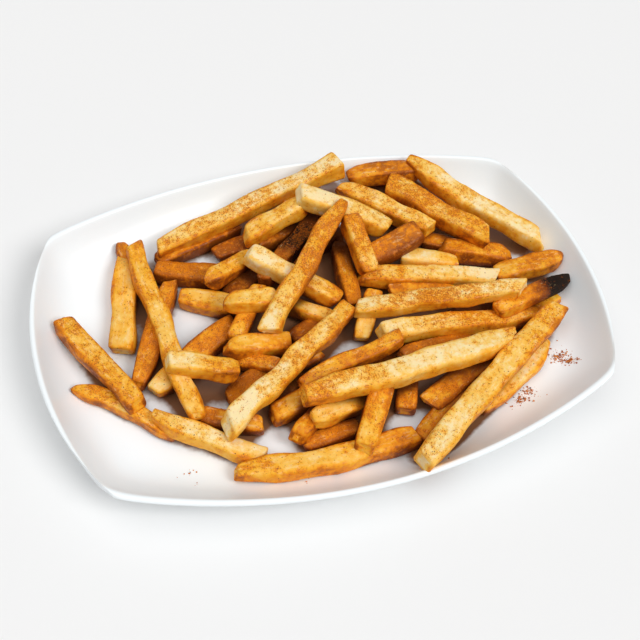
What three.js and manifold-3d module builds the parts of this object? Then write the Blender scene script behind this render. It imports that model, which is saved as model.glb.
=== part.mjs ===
// French fries portion: a heap of hand-cut fries lying as served in a shallow white porcelain platter.
// Millimetres, +Z up. The origin is on the table, under the middle of the platter.

import * as THREE from 'three';
import { mergeVertices } from 'three/addons/utils/BufferGeometryUtils.js';
import Module from 'manifold-3d';

// ---------------------------------------------------------------- driving dimensions

// The platter in plan: a rounded oblong whose sides and ends bow outwards between four blunt corners.
const HALF_LENGTH = 144.8;
const HALF_WIDTH = 100.8;
const END_BOW = 29.4;
const SIDE_BOW = 33.2;
const CORNER_POWER = 31;

// The platter in section. An inset is a distance inwards from the outer edge of the rim.
const RIM_HEIGHT = 20;
const END_RISE = 5.3;
const SIDE_RISE = 0.7;
const CORNER_RISE = 2.4;
const FLOOR_HEIGHT = 6;
const LIP_INSET = 2.8;
const WALL_INSET = 30;
const OUTER_TOP_INSET = 1.4;
const OUTER_TOP_DROP = 2.2;
const OUTER_FOOT_INSET = 38;
const OUTER_FOOT_HEIGHT = 2.6;
const FOOT_INSETS = [39, 43];
const FOOT_INNER_INSET = 44.5;
const UNDERSIDE_HEIGHT = 2.4;
const INNER_WALL_POWER = 3;
const OUTER_WALL_POWER = 3.4;
const LIP_ROLL = [[0.2, -0.9], [0.5, 0.1], [1.5, 0.6]]; // inset, height above the rim's nominal height
const LIP_CREST = LIP_ROLL[2][1];

// Where the platter's walls have a ring of vertices, and how many each ring has.
const OUTER_INSETS = [27, 18, 10, 4.5, OUTER_TOP_INSET];
const INNER_INSETS = [LIP_INSET, 4.4, 6.5, 9, 12.5, 17, 22, WALL_INSET];
const PLATTER_STEPS = 76;

// The heap.
const GAP = 0.35; // between a fry and the glaze
const BITE = 2.6; // how far a fry presses into the ones it lies on
const SETTLE_STEP = 1;
const SETTLE_STATIONS = 12;
const CONTACTS = [[-0.5, 0.25], [-0.28, 0.5], [0, 0.5], [0.28, 0.5], [0.5, 0.25]]; // shares: aside, below the axis
const STEEPEST = Math.tan(THREE.MathUtils.degToRad(13));
const DROP_HEIGHTS = { lower: 26, upper: 40 }; // where a fry's axis starts before it settles
const END_LENGTH = 0.22; // share of a fry's length over which each end narrows
const FRY_RINGS = { // shares of its length where a fry has a ring of vertices
  straight: [0, 0.05, 0.2, 0.8, 0.95, 1],
  bowed: [0, 0.05, 0.2, 0.5, 0.8, 0.95, 1],
  tucked: [0, 0.2, 0.8, 1],
};
const FRY_CORNERS = [[1, 0.5], [0.6, 1], [-0.6, 1], [-1, 0.5], [-1, -0.5], [-0.6, -1], [0.6, -1], [1, -0.5]];
const END_FACE = 0.8; // an end face against the section just behind it
const CORE = { x: 32, y: 15, halfLength: 60, halfWidth: 30, height: 7, sides: 20, steps: 4 };

const WELD = 1e-4; // vertices nearer than this are one
const KEEP_OUT_DEPTH = 5; // how far the keep-out body reaches below the table
const BISECTIONS = 34;

// The fries are laid out by eye: their ends are given on a level plane as sighted from above one corner of
// the platter, and each end slides along its line of sight as the fry settles.
const SIGHT_HEIGHT = 20;
const EYE = { x: -146, y: -284, z: 443 };

// One row for each fry, in the order in which they were served:
// first end x, y, second end x, y, width, thickness, first end's taper, second end's taper, sideways bow.
const LOWER_FRIES = [
  [-95, -25, -46, 4, 13, 10, 0.62, 0.8, 0],
  [-75, 50, -28, 63, 9, 9, 0.8, 0.8, 0],
  [-46, 47, -20, 51, 10, 9, 0.8, 0.8, 0],
  [-23, 49, 10, 58, 10, 9, 0.8, 0.8, 0],
  [40, 84, 84, 80, 12, 10, 0.5, 0.8, 0],
  [-77, 47.7, -42, 29.5, 11.8, 10, 0.85, 0.7, 0],
  [-70, 24.5, -36, 9.5, 11.5, 9, 0.85, 0.8, 0],
  [-72, 35, -101, -20, 10, 10, 0.8, 0.7, 0],
  [-90.5, 57, -104, 0.5, 12, 10, 0.55, 0.9, 1],
  [-130, -12.5, -90, -51, 8.5, 7.5, 0.4, 0.6, 2],
  [-98, -36.3, -54, -71.5, 9.8, 9, 0.7, 0.9, -2],
  [-79, -42, -50, -57, 9.5, 10, 0.7, 0.8, 0],
  [-70, -75.3, 18, -79.3, 11, 10, 0.6, 0.9, -3.5],
  [-36, -70, -6, -68, 9, 8, 0.6, 0.8, 0],
  [-38, -66, -20, -54, 9, 9, 0.8, 0.8, 0],
  [17, -66, 28, -40, 11, 10, 0.9, 0.8, 0],
  [26, -36, 66, -34, 9, 8, 0.6, 0.8, 0],
  [10, -22, 28, 6, 10, 10, 0.8, 0.8, 0],
  [34, 3, 70, -6, 9, 8, 0.8, 0.8, 0],
  [-14, 33, 24, 47, 10, 10, 0.8, 0.8, 0],
  [28, 46, 64, 58, 10, 10, 0.8, 0.8, 0],
  [9, 83, -1, 60, 10, 10, 0.8, 0.8, 0],
  [-36, -30, -12, -24, 9, 9, 0.8, 0.8, 0],
  [-28.5, 22, -50.5, -6, 9.6, 9, 0.8, 0.8, 0],
  [-26, 21, 2, -9, 9, 9, 0.8, 0.8, 0],
  [-54, -18, -32, -27, 8, 8, 0.7, 0.8, 0],
  [21, -19, 106, -30.5, 10.5, 10, 0.9, 0.8, 0],
  [84, -22, 133, -12, 10, 9, 0.8, 0.5, 0],
  [94, -1.3, 136, 1.7, 11.7, 10, 0.9, 0.3, 0],
  [70, 23, 108, 9, 11, 11, 0.9, 0.3, 0],
  [101.5, -44, 52, -74.5, 10.5, 8, 0.7, 0.7, 3],
];
const UPPER_FRIES = [
  [48, 22, 78, 14, 10, 10, 0.8, 0.8, 0],
  [16, 62, -26, 24, 9.5, 9, 0.8, 0.8, 0],
  [-28, 55.3, 12, 70.3, 11, 10, 0.85, 0.8, 0],
  [-55, 30.5, -27, 42.3, 10, 10, 0.4, 0.8, 0],
  [-29, 45, 8, 4, 10.5, 10, 0.9, 0.8, 0],
  [33, 79, 72, 36, 10.5, 10, 0.4, 0.9, 0],
  [28, -65, 72, -47.5, 12.5, 10, 0.9, 0.7, 0],
  [-46, -53, -12, -42, 11, 10, 0.85, 0.8, 0],
  [-28, -59, 8, -53, 10, 9, 0.7, 0.8, 0],
  [11, -48, -9, -80, 11.5, 10, 0.9, 0.85, 0],
  [-27, -37, 26, -33, 8.5, 9, 0.6, 0.9, 0],
  [-84.8, 64, -79, -43, 10, 10, 0.95, 0.8, 0],
  [40, 95, -73.5, 58, 10.8, 9.6, 1.25, 0.85, 0],
  [-127.5, 25, -103, -31, 11, 10, 0.9, 0.95, 0],
  [9.5, 79.5, 50.5, 43.5, 12, 10, 0.95, 0.8, 0],
  [78.7, 90, 129.5, 13.5, 11.5, 9.5, 0.35, 1, -3],
  [63, 79, 100.5, 22.5, 13, 12, 1.05, 0.95, 0],
  [20, 41, 13, -2, 9.5, 9, 0.4, 0.8, 0],
  [21, 15, 98, 1, 10.5, 10, 0.8, 1, 0],
  [13, -3, 107, -12, 10, 10, 0.8, 0.9, 0],
  [-50, 16, -20, 13, 10, 10, 0.4, 0.8, 0],
  [-56, -8, -22, -12, 10.5, 10, 0.6, 0.8, -1],
  [-85, -10, -53, -24, 10.5, 10, 0.8, 0.8, 0],
  [31, 32, 66, 37, 13, 11, 0.85, 0.85, 0],
  [118.3, -28, 14.5, -93.7, 12.8, 12, 0.7, 0.9, -1],
  [-28, -45, 89, -38, 12.5, 10, 0.8, 0.45, -2],
  [31, 57, 30.5, 18, 10.5, 10, 0.8, 0.9, 0],
  [33, 69, -34, -6, 10.5, 10, 0.4, 0.95, 0],
  [12, -1, -68, -53, 11, 10, 0.8, 1, 0],
];

// Thin dark ends on the glaze, low enough that nothing above rests on them. They fill the gaps in the heap.
const TUCKED_FRIES = [
  [-47, 19, -22, 35, 11, 7, 0.8, 0.8, 0],
  [-23, -14, -4, -4, 9, 7, 0.8, 0.8, 0],
  [-63, -39, -41, -28, 11, 7, 0.8, 0.8, 0],
  [-45, -45, -23, -35, 9, 7, 0.8, 0.8, 0],
  [17, -82, 55, -60, 11, 7, 0.8, 0.8, 0],
  [12, -39.5, 40, -32, 8.5, 7, 0.8, 0.8, 0],
  [59, -20, 87, -21, 9, 7, 0.8, 0.8, 0],
  [62, -51, 84, -43, 8, 7, 0.8, 0.8, 0],
  [84, -29, 122, -22, 9, 7, 0.8, 0.6, 0],
  [63, 33, 84, 22, 10, 7, 0.8, 0.8, 0],
  [-90, 67, -89, 37, 7.5, 7, 0.5, 0.8, 0],
];

// ---------------------------------------------------------------- solids

const wasm = await Module();
wasm.setup();

function toSolid(geometry) {
  const bare = geometry.clone();
  bare.deleteAttribute('normal');
  bare.deleteAttribute('uv');
  const merged = mergeVertices(bare, WELD);
  return new wasm.Manifold(new wasm.Mesh({
    numProp: 3,
    vertProperties: new Float32Array(merged.attributes.position.array),
    triVerts: new Uint32Array(merged.index.array),
  }));
}

function meshGeometry(vertices, triangles) {
  const geometry = new THREE.BufferGeometry();
  geometry.setAttribute('position', new THREE.Float32BufferAttribute(vertices, 3));
  geometry.setIndex(triangles);
  geometry.computeVertexNormals();
  return geometry;
}

// A skin through rings of equal length, closed at both ends by a fan round each end's middle point.
// The rings run anticlockwise as seen from the last ring's side.
function skinRings(rings, firstMiddle, lastMiddle) {
  const count = rings[0].length;
  const vertices = rings.flat().flatMap((p) => [p.x, p.y, p.z]);
  vertices.push(firstMiddle.x, firstMiddle.y, firstMiddle.z, lastMiddle.x, lastMiddle.y, lastMiddle.z);
  const first = rings.length * count;
  const last = first + 1;
  const triangles = [];
  for (let i = 0; i < count; i += 1) {
    const next = (i + 1) % count;
    for (let ring = 0; ring + 1 < rings.length; ring += 1) {
      const a = ring * count + i;
      const b = ring * count + next;
      triangles.push(a, b, b + count, a, b + count, a + count);
    }
    const top = (rings.length - 1) * count;
    triangles.push(first, next, i, last, top + i, top + next);
  }
  return meshGeometry(vertices, triangles);
}

// Keeps the largest closed shell: cavities that the union sealed are filled and loose scraps dropped.
function largestShell(mesh) {
  const { vertProperties, triVerts } = mesh;
  const parent = Array.from({ length: vertProperties.length / 3 }, (_, i) => i);
  const find = (i) => {
    let root = i;
    while (parent[root] !== root) root = parent[root];
    while (parent[i] !== root) [parent[i], i] = [root, parent[i]];
    return root;
  };
  for (let t = 0; t < triVerts.length; t += 3) {
    parent[find(triVerts[t])] = find(triVerts[t + 1]);
    parent[find(triVerts[t + 1])] = find(triVerts[t + 2]);
  }
  const shells = new Map();
  for (let t = 0; t < triVerts.length; t += 3) {
    const root = find(triVerts[t]);
    if (!shells.has(root)) shells.set(root, []);
    shells.get(root).push(triVerts[t], triVerts[t + 1], triVerts[t + 2]);
  }
  const kept = [...shells.values()].sort((a, b) => b.length - a.length)[0];
  return meshGeometry(Array.from(vertProperties), kept);
}

// ---------------------------------------------------------------- the platter's surfaces

// Below 1 inside the platter's outline drawn in by an inset, above 1 outside it.
function outlineValue(x, y, inset) {
  const length = HALF_LENGTH - inset;
  const width = HALF_WIDTH - inset;
  const across = length - END_BOW * (y / width) ** 2;
  const along = width - SIDE_BOW * (x / length) ** 2;
  if (across <= 0 || along <= 0) return Infinity;
  return (Math.abs(x) / across) ** CORNER_POWER + (Math.abs(y) / along) ** CORNER_POWER;
}

function bisect(low, high, isLow) {
  for (let i = 0; i < BISECTIONS; i += 1) {
    const middle = (low + high) / 2;
    if (isLow(middle)) low = middle;
    else high = middle;
  }
  return (low + high) / 2;
}

function insetAt(x, y) {
  return bisect(0, WALL_INSET, (inset) => outlineValue(x, y, inset) < 1);
}

// The rim climbs towards the ends and the corners.
function rimRise(x, y) {
  const u = (x / HALF_LENGTH) ** 2;
  const w = (y / HALF_WIDTH) ** 2;
  return END_RISE * u + SIDE_RISE * w + CORNER_RISE * u * w;
}

function innerHeight(x, y, inset) {
  const share = Math.max(0, (WALL_INSET - inset) / (WALL_INSET - LIP_INSET));
  return FLOOR_HEIGHT + (RIM_HEIGHT + rimRise(x, y) - FLOOR_HEIGHT) * Math.min(1, share) ** INNER_WALL_POWER;
}

function outerHeight(x, y, inset) {
  const share = (OUTER_FOOT_INSET - inset) / (OUTER_FOOT_INSET - OUTER_TOP_INSET);
  const climb = RIM_HEIGHT - OUTER_TOP_DROP + rimRise(x, y) - OUTER_FOOT_HEIGHT;
  return OUTER_FOOT_HEIGHT + climb * share ** OUTER_WALL_POWER;
}

function outlineRing(inset, height) {
  return Array.from({ length: PLATTER_STEPS }, (_, i) => {
    const angle = ((i + 0.5) / PLATTER_STEPS) * 2 * Math.PI;
    const c = Math.cos(angle);
    const s = Math.sin(angle);
    const reach = bisect(0, HALF_LENGTH, (r) => outlineValue(r * c, r * s, inset) < 1);
    return new THREE.Vector3(reach * c, reach * s, height(reach * c, reach * s, inset));
  });
}

const level = (z) => () => z;
const lip = (offset) => (x, y) => RIM_HEIGHT + rimRise(x, y) + offset;

function buildPlatter() {
  const rings = [
    outlineRing(FOOT_INNER_INSET, level(UNDERSIDE_HEIGHT)),
    outlineRing(FOOT_INSETS[1], level(0)),
    outlineRing(FOOT_INSETS[0], level(0)),
    outlineRing(OUTER_FOOT_INSET, level(OUTER_FOOT_HEIGHT)),
    ...OUTER_INSETS.map((inset) => outlineRing(inset, outerHeight)),
    ...LIP_ROLL.map(([inset, offset]) => outlineRing(inset, lip(offset))),
    ...INNER_INSETS.map((inset) => outlineRing(inset, innerHeight)),
  ];
  return skinRings(rings, new THREE.Vector3(0, 0, UNDERSIDE_HEIGHT), new THREE.Vector3(0, 0, FLOOR_HEIGHT));
}

// Everything below the glaze and the gap over it, so that no fry reaches into the platter.
function buildKeepOut() {
  const rings = [
    outlineRing(0, level(-KEEP_OUT_DEPTH)),
    outlineRing(0, lip(GAP + LIP_CREST)),
    outlineRing(LIP_ROLL[2][0], lip(GAP + LIP_CREST)),
    ...INNER_INSETS.map((inset) => outlineRing(inset, (x, y, d) => innerHeight(x, y, d) + GAP)),
  ];
  const bottom = new THREE.Vector3(0, 0, -KEEP_OUT_DEPTH);
  return skinRings(rings, bottom, new THREE.Vector3(0, 0, FLOOR_HEIGHT + GAP));
}

// ---------------------------------------------------------------- the fries

// How full a fry is at a share of its length: 1 along the middle, narrowing in a quarter wave to each end.
function fullness(share, fry) {
  let full = 1;
  if (share < END_LENGTH) {
    full = fry.taper[0] + (1 - fry.taper[0]) * Math.sin((Math.PI / 2) * (share / END_LENGTH));
  }
  if (share > 1 - END_LENGTH) {
    const end = fry.taper[1] + (1 - fry.taper[1]) * Math.sin((Math.PI / 2) * ((1 - share) / END_LENGTH));
    full = Math.min(full, end);
  }
  return full;
}

function sighted(x, y, z) {
  const share = (z - SIGHT_HEIGHT) / (EYE.z - SIGHT_HEIGHT);
  return [x + (EYE.x - x) * share, y + (EYE.y - y) * share];
}

// Lays a fry's axis between the two end heights.
function lay(fry, z0, z1) {
  const [first, second] = fry.ends;
  [fry.x0, fry.y0] = sighted(first[0], first[1], z0);
  [fry.x1, fry.y1] = sighted(second[0], second[1], z1);
  fry.z0 = z0;
  fry.z1 = z1;
  fry.length = Math.hypot(fry.x1 - fry.x0, fry.y1 - fry.y0);
  fry.ux = (fry.x1 - fry.x0) / fry.length;
  fry.uy = (fry.y1 - fry.y0) / fry.length;
}

function bowAt(fry, share) {
  return fry.bow * 4 * share * (1 - share);
}

// The height of a fry's upper face over a point, or -Infinity beside it.
function topAt(fry, x, y) {
  const along = ((x - fry.x0) * fry.ux + (y - fry.y0) * fry.uy) / fry.length;
  if (along < 0 || along > 1) return -Infinity;
  const full = fullness(along, fry);
  const off = Math.abs((y - fry.y0) * fry.ux - (x - fry.x0) * fry.uy - bowAt(fry, along));
  const share = off / (0.5 * fry.width * full);
  if (share > 1) return -Infinity;
  return fry.z0 + (fry.z1 - fry.z0) * along + (fry.thick / 2) * full * Math.sqrt(1 - share ** 4);
}

function coreTop(x, y) {
  const q = ((x - CORE.x) / CORE.halfLength) ** 2 + ((y - CORE.y) / CORE.halfWidth) ** 2;
  return q < 1 ? FLOOR_HEIGHT + CORE.height * Math.sqrt(1 - q) : -Infinity;
}

// The axis height that one station of a fry needs, so that it clears the glaze and rests on what is below.
function neededHeight(fry, share, laid) {
  const full = fullness(share, fry);
  let needed = -Infinity;
  for (const [side, depth] of CONTACTS) {
    const off = bowAt(fry, share) + side * fry.width * full;
    const x = fry.x0 + fry.ux * fry.length * share - fry.uy * off;
    const y = fry.y0 + fry.uy * fry.length * share + fry.ux * off;
    const below = depth * fry.thick * full;
    needed = Math.max(needed, innerHeight(x, y, insetAt(x, y)) + GAP + below);
    if (depth < 0.5) continue;
    for (const other of laid) needed = Math.max(needed, topAt(other, x, y) - BITE + below);
    needed = Math.max(needed, coreTop(x, y) - BITE + below);
  }
  return needed;
}

// The axis heights at a fry's two ends when it lies on one support on each side of its middle.
function restingEnds(fry, laid) {
  const stations = Array.from({ length: SETTLE_STATIONS }, (_, i) => (i + 0.5) / SETTLE_STATIONS);
  const needed = stations.map((share) => neededHeight(fry, share, laid));
  let middle = -Infinity;
  let slope = 0;
  stations.forEach((low, i) => stations.forEach((high, j) => {
    if (low > 0.5 || high < 0.5) return;
    const pairSlope = (needed[j] - needed[i]) / (high - low);
    const pairMiddle = needed[i] + pairSlope * (0.5 - low);
    if (pairMiddle > middle) [middle, slope] = [pairMiddle, pairSlope];
  }));
  const limit = STEEPEST * fry.length;
  if (Math.abs(slope) > limit) {
    slope = Math.sign(slope) * limit;
    middle = Math.max(...stations.map((share, i) => needed[i] - slope * (share - 0.5)));
  }
  return [middle - slope / 2, middle + slope / 2];
}

// Lets a fry down its lines of sight in small steps until it touches, and then straight down to rest.
function settle(fry, laid, startHeight) {
  lay(fry, startHeight, startHeight);
  for (;;) {
    const [rest0, rest1] = restingEnds(fry, laid);
    const step0 = Math.min(Math.max(fry.z0 - rest0, 0), SETTLE_STEP);
    const step1 = Math.min(Math.max(fry.z1 - rest1, 0), SETTLE_STEP);
    if (step0 < SETTLE_STEP && step1 < SETTLE_STEP) {
      lay(fry, (fry.z0 + rest0) / 2, (fry.z1 + rest1) / 2);
      [fry.z0, fry.z1] = restingEnds(fry, laid);
      return;
    }
    lay(fry, fry.z0 - step0, fry.z1 - step1);
  }
}

function serveFry([x0, y0, x1, y1, width, thick, taper0, taper1, bow], laid, startHeight) {
  const rings = bow === 0 ? FRY_RINGS.straight : FRY_RINGS.bowed;
  const fry = { ends: [[x0, y0], [x1, y1]], width, thick, taper: [taper0, taper1], bow, rings };
  settle(fry, laid, startHeight);
  return fry;
}

function serveFries() {
  const laid = [];
  for (const row of LOWER_FRIES) laid.push(serveFry(row, laid, DROP_HEIGHTS.lower));
  for (const row of UPPER_FRIES) laid.push(serveFry(row, laid, DROP_HEIGHTS.upper));
  const tucked = TUCKED_FRIES.map((row) => serveFry(row, [], DROP_HEIGHTS.lower));
  for (const fry of tucked) fry.rings = FRY_RINGS.tucked;
  return [...laid, ...tucked];
}

// A bar of square section with its long edges taken off.
function buildFry(fry) {
  const start = new THREE.Vector3(fry.x0, fry.y0, fry.z0);
  const axis = new THREE.Vector3(fry.x1, fry.y1, fry.z1).sub(start);
  const side = new THREE.Vector3(-fry.uy, fry.ux, 0);
  const up = new THREE.Vector3().crossVectors(axis, side).normalize();
  const middle = (share) => start.clone().addScaledVector(axis, share).addScaledVector(side, bowAt(fry, share));
  const rings = fry.rings.map((share) => {
    const isEnd = share === 0 || share === 1;
    const full = fullness(share, fry) * (isEnd ? END_FACE : 1);
    return FRY_CORNERS.map(([s, u]) => middle(share)
      .addScaledVector(side, (s * fry.width * full) / 2)
      .addScaledVector(up, (u * fry.thick * full) / 2));
  });
  return skinRings(rings, middle(0), middle(1));
}

// A low mound of mashed-together ends under the middle of the heap.
function buildCore() {
  const arc = Array.from({ length: CORE.steps + 1 }, (_, i) => {
    const angle = (i / CORE.steps) * (Math.PI / 2);
    return new THREE.Vector2(Math.cos(angle), Math.sin(angle));
  });
  arc[CORE.steps].x = 0;
  const dome = new THREE.LatheGeometry([new THREE.Vector2(0, 0), ...arc], CORE.sides);
  dome.rotateX(Math.PI / 2);
  dome.scale(CORE.halfLength, CORE.halfWidth, CORE.height);
  dome.translate(CORE.x, CORE.y, FLOOR_HEIGHT + GAP);
  return dome;
}

function buildHeap() {
  let heap = toSolid(buildCore());
  for (const fry of serveFries()) heap = heap.add(toSolid(buildFry(fry)));
  heap = heap.subtract(toSolid(buildKeepOut()));
  return largestShell(heap.getMesh());
}

// ---------------------------------------------------------------- the portion

const porcelain = new THREE.MeshStandardMaterial({ color: 0xf3f3f1, roughness: 0.12, metalness: 0 });
const friedPotato = new THREE.MeshStandardMaterial({ color: 0xd9973f, roughness: 0.6, metalness: 0 });

const plate = new THREE.Mesh(buildPlatter(), porcelain);
plate.name = 'plate';

const fries = new THREE.Mesh(buildHeap(), friedPotato);
fries.name = 'fries';

const portion = new THREE.Group();
portion.add(plate, fries);

export default portion;
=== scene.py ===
"""French fries portion: the looks of a heap of hand-cut, paprika-dusted fries in a white porcelain platter.

Sizes and places are in millimetres and turn into metres where a mesh is made. The platter's surfaces and the
way the fries come to rest are worked out as in the solid model, so each piece lies where its solid does.
"""

import functools
import math

import bpy
import numpy as np
from mathutils import Matrix, Vector, noise
from mathutils.bvhtree import BVHTree


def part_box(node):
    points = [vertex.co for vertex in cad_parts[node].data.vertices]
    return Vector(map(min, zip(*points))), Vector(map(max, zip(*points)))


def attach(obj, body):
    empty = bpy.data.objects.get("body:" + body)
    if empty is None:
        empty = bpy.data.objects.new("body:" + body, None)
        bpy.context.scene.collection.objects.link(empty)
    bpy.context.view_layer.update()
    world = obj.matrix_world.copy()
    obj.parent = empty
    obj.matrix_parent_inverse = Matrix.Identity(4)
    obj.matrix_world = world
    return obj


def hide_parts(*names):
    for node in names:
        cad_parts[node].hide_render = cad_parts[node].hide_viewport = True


bl_info = {
    "name": "French Fries Portion",
    "version": (1, 0, 0),
    "blender": (4, 5, 0),
    "location": "View3D > Sidebar > Fries",
    "description": "Builds a platter of hand-cut fries with paprika, and a pale studio round it",
    "category": "Object",
}

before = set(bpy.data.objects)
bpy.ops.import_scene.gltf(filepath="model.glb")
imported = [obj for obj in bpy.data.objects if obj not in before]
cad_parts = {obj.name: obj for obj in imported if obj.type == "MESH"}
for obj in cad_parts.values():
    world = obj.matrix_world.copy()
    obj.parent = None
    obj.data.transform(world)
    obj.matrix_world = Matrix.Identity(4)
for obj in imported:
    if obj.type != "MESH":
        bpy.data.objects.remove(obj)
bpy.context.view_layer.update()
MM = 0.001

# ---------------------------------------------------------------- the platter's sizes

# In plan: a rounded oblong whose sides and ends bow outwards between four blunt corners. The higher the
# power, the sharper the corners.
HALF_LENGTH = 144.8
HALF_WIDTH = 100.8
END_BOW = 29.4
SIDE_BOW = 33.2
CORNER_POWER = 31

# In section. An inset is a distance inwards from the outer edge of the rim.
RIM_HEIGHT = 20
END_RISE = 5.3
SIDE_RISE = 0.7
CORNER_RISE = 2.4
FLOOR_HEIGHT = 6
LIP_INSET = 2.8
WALL_INSET = 30
INNER_WALL_POWER = 3
OUTER_WALL_POWER = 3.4
OUTER_FOOT_INSET = 37.7
OUTER_FOOT_HEIGHT = 2.6
UNDERSIDE_HEIGHT = 2.4
FOOT_MIDDLE_INSET = 41.2
FOOT_HALF_WIDTH = 3.5
FOOT_POWER = 6
LIP_MIDDLE = (1.6, -0.9)  # inset, height above the rim's nominal height
LIP_RADII = (1.45, 1.5)
LIP_OUTER_ANGLE = math.radians(-36)
LIP_INNER_ANGLE = math.radians(143)

# Its mesh: points round each ring, and rings from under the middle, round the lip, to over the middle.
PLATTER_STEPS = 480
UNDERSIDE_SHARES = (0.14, 0.3, 0.48, 0.66, 0.82, 0.94)
FOOT_RINGS = 15
OUTER_WALL_RINGS = 18
LIP_RINGS = 16
INNER_WALL_RINGS = 26
WELL_RINGS = 56
BISECTIONS = 34

# ---------------------------------------------------------------- the heap's sizes

GAP = 0.35  # between a fry and the glaze
BITE = 2.6  # how far a fry sinks into what carries it
SETTLE_STEP = 1
SETTLE_STATIONS = 12
# Where a fry is felt for supports: how far aside as a share of its width, and how far below its axis as a
# share of its thickness. Only its underside rests on other fries, and its corners on the glaze as well.
UNDERSIDE = 0.5
CONTACTS = ((-0.5, 0.25), (-0.28, UNDERSIDE), (0, UNDERSIDE), (0.28, UNDERSIDE), (0.5, 0.25))
STEEPEST = math.tan(math.radians(13))
DROP_HEIGHTS = {"lower": 26, "upper": 40}
END_LENGTH = 0.22  # share of its length over which a fry narrows to its end
TOP_POWER = 4  # how square the top of a laid fry is
CORE = {"x": 32, "y": 15, "half_length": 60, "half_width": 30, "height": 7}
# A fry's listed ends hold at the sight height. Higher or lower they move along their lines of sight.
SIGHT_HEIGHT = 20
EYE = (-146, -284, 443)

# The meshed fry.
RING_SPACING = 1.45
RING_POINTS = 30
LEAST_RINGS = 6
SECTION_SAMPLES = 721
SECTION_TURN = 0.1
LEAST_HALF_SIZE = 0.5
PLUMPNESS = 1.05  # a rounded fry against the solid one, whose corners stand out further
END_STATIONS = (0, 0.15, 0.45, 0.85, 1.4, 2.2)
CAP_SHARES = (0.72, 0.38)  # the rings of an end face against its rim
CAP_CROWN = 0.12  # how far each of them stands out from the one before
CUT_REACH = 9  # how far from an end its slanting cut is felt
CUT_REACH_SHARE = 1 / 3  # and how far at most, as a share of the fry's length
CUT_FADE = 1.5
CUT_BACK = 0.4  # share of a slanting cut's depth that is taken off the end's middle
DENT_POWER = 8  # how far the hollow of a face spreads towards its corners
CHAMFER_WAVE = 7
CHAMFER_SWING = 0.6
CHAMFER_DEPTH = 1.6
RISING_WANDER = 0.5  # a fry wanders less up and down than aside
ABOVE_GLAZE = 0.1

# The chances of a fry's shape. One number is the most to either side, and a pair is the least and the most.
SECTION_POWERS = (4.6, 8)
ROLL = 8
TWIST = 20
END_SLOPE = 0.4
DENTS = (0.1, 0.6)
WAISTS = (0.02, 0.08)
WAIST_WAVES = (16, 34)
SWELL = 0.14
CHAMFERS = (0, 0.11)
WANDER = 0.85
WANDER_WAVES = (38, 70)
ROUNDINGS = (0.9, 2)
POTATO_REACH = 400
# Painted shade on a fry's sides and painted light on its top.
PAINTED_SIDE_SHADES = (0.04, 0.24)
PAINTED_TOP_LIGHTS = (-0.12, 0.04)
FRY_SEED = 4100

# A fry's relief: how far apart the bumps of each kind are, and how high. Each kind has its own stretch of the
# noise, as many strides from the first as its number.
NOISE_STRIDES = (17.31, 5.77, 11.13)
LUMP_SIZE = 6.5
LUMP_HEIGHT = 0.3
BLISTER_SIZE = 2.4
BLISTER_HEIGHT = 0.12
PEAK_START = 0.2  # blisters above this level stand up further
PEAK_HEIGHT = 0.2
PIT_SIZE = 1.3
PIT_HEIGHT = 0.07
LUMP_STRETCH = (0.5, 1, 1)
PIT_STRETCH = (0.6, 1, 1)
RELIEF_FADE = 2.5  # the relief fades from this far out to the axis
AXIS_RADIUS = 0.5

# What is added to a fry's own browning.
BROWNING_STATIONS = (0.04, 0.5, 0.96)
EDGE_START = 0.68  # how near to both faces, as shares of the half-sizes, an edge begins
EDGE_SPAN = 0.28
EDGE_BROWNING = 0.3
TIP_BROWNING = 0.12
TIP_REACH = 2.2
# Darker towards the underside.
UNDERSIDE_DARKENING = 0.04
LUMP_BROWNING = 0.1
CAP_PALENESS = 0.1
FACE_CONTRAST = 2.5  # how sharply the top and the sides differ
BROWNEST = 0.86  # the browning that a fry has at most where it isn't burnt
BURN_START = 0.8  # the listed browning from which an end is burnt
BURN_FADE = 34  # how far from a burnt end its browning falls by 1

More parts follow.
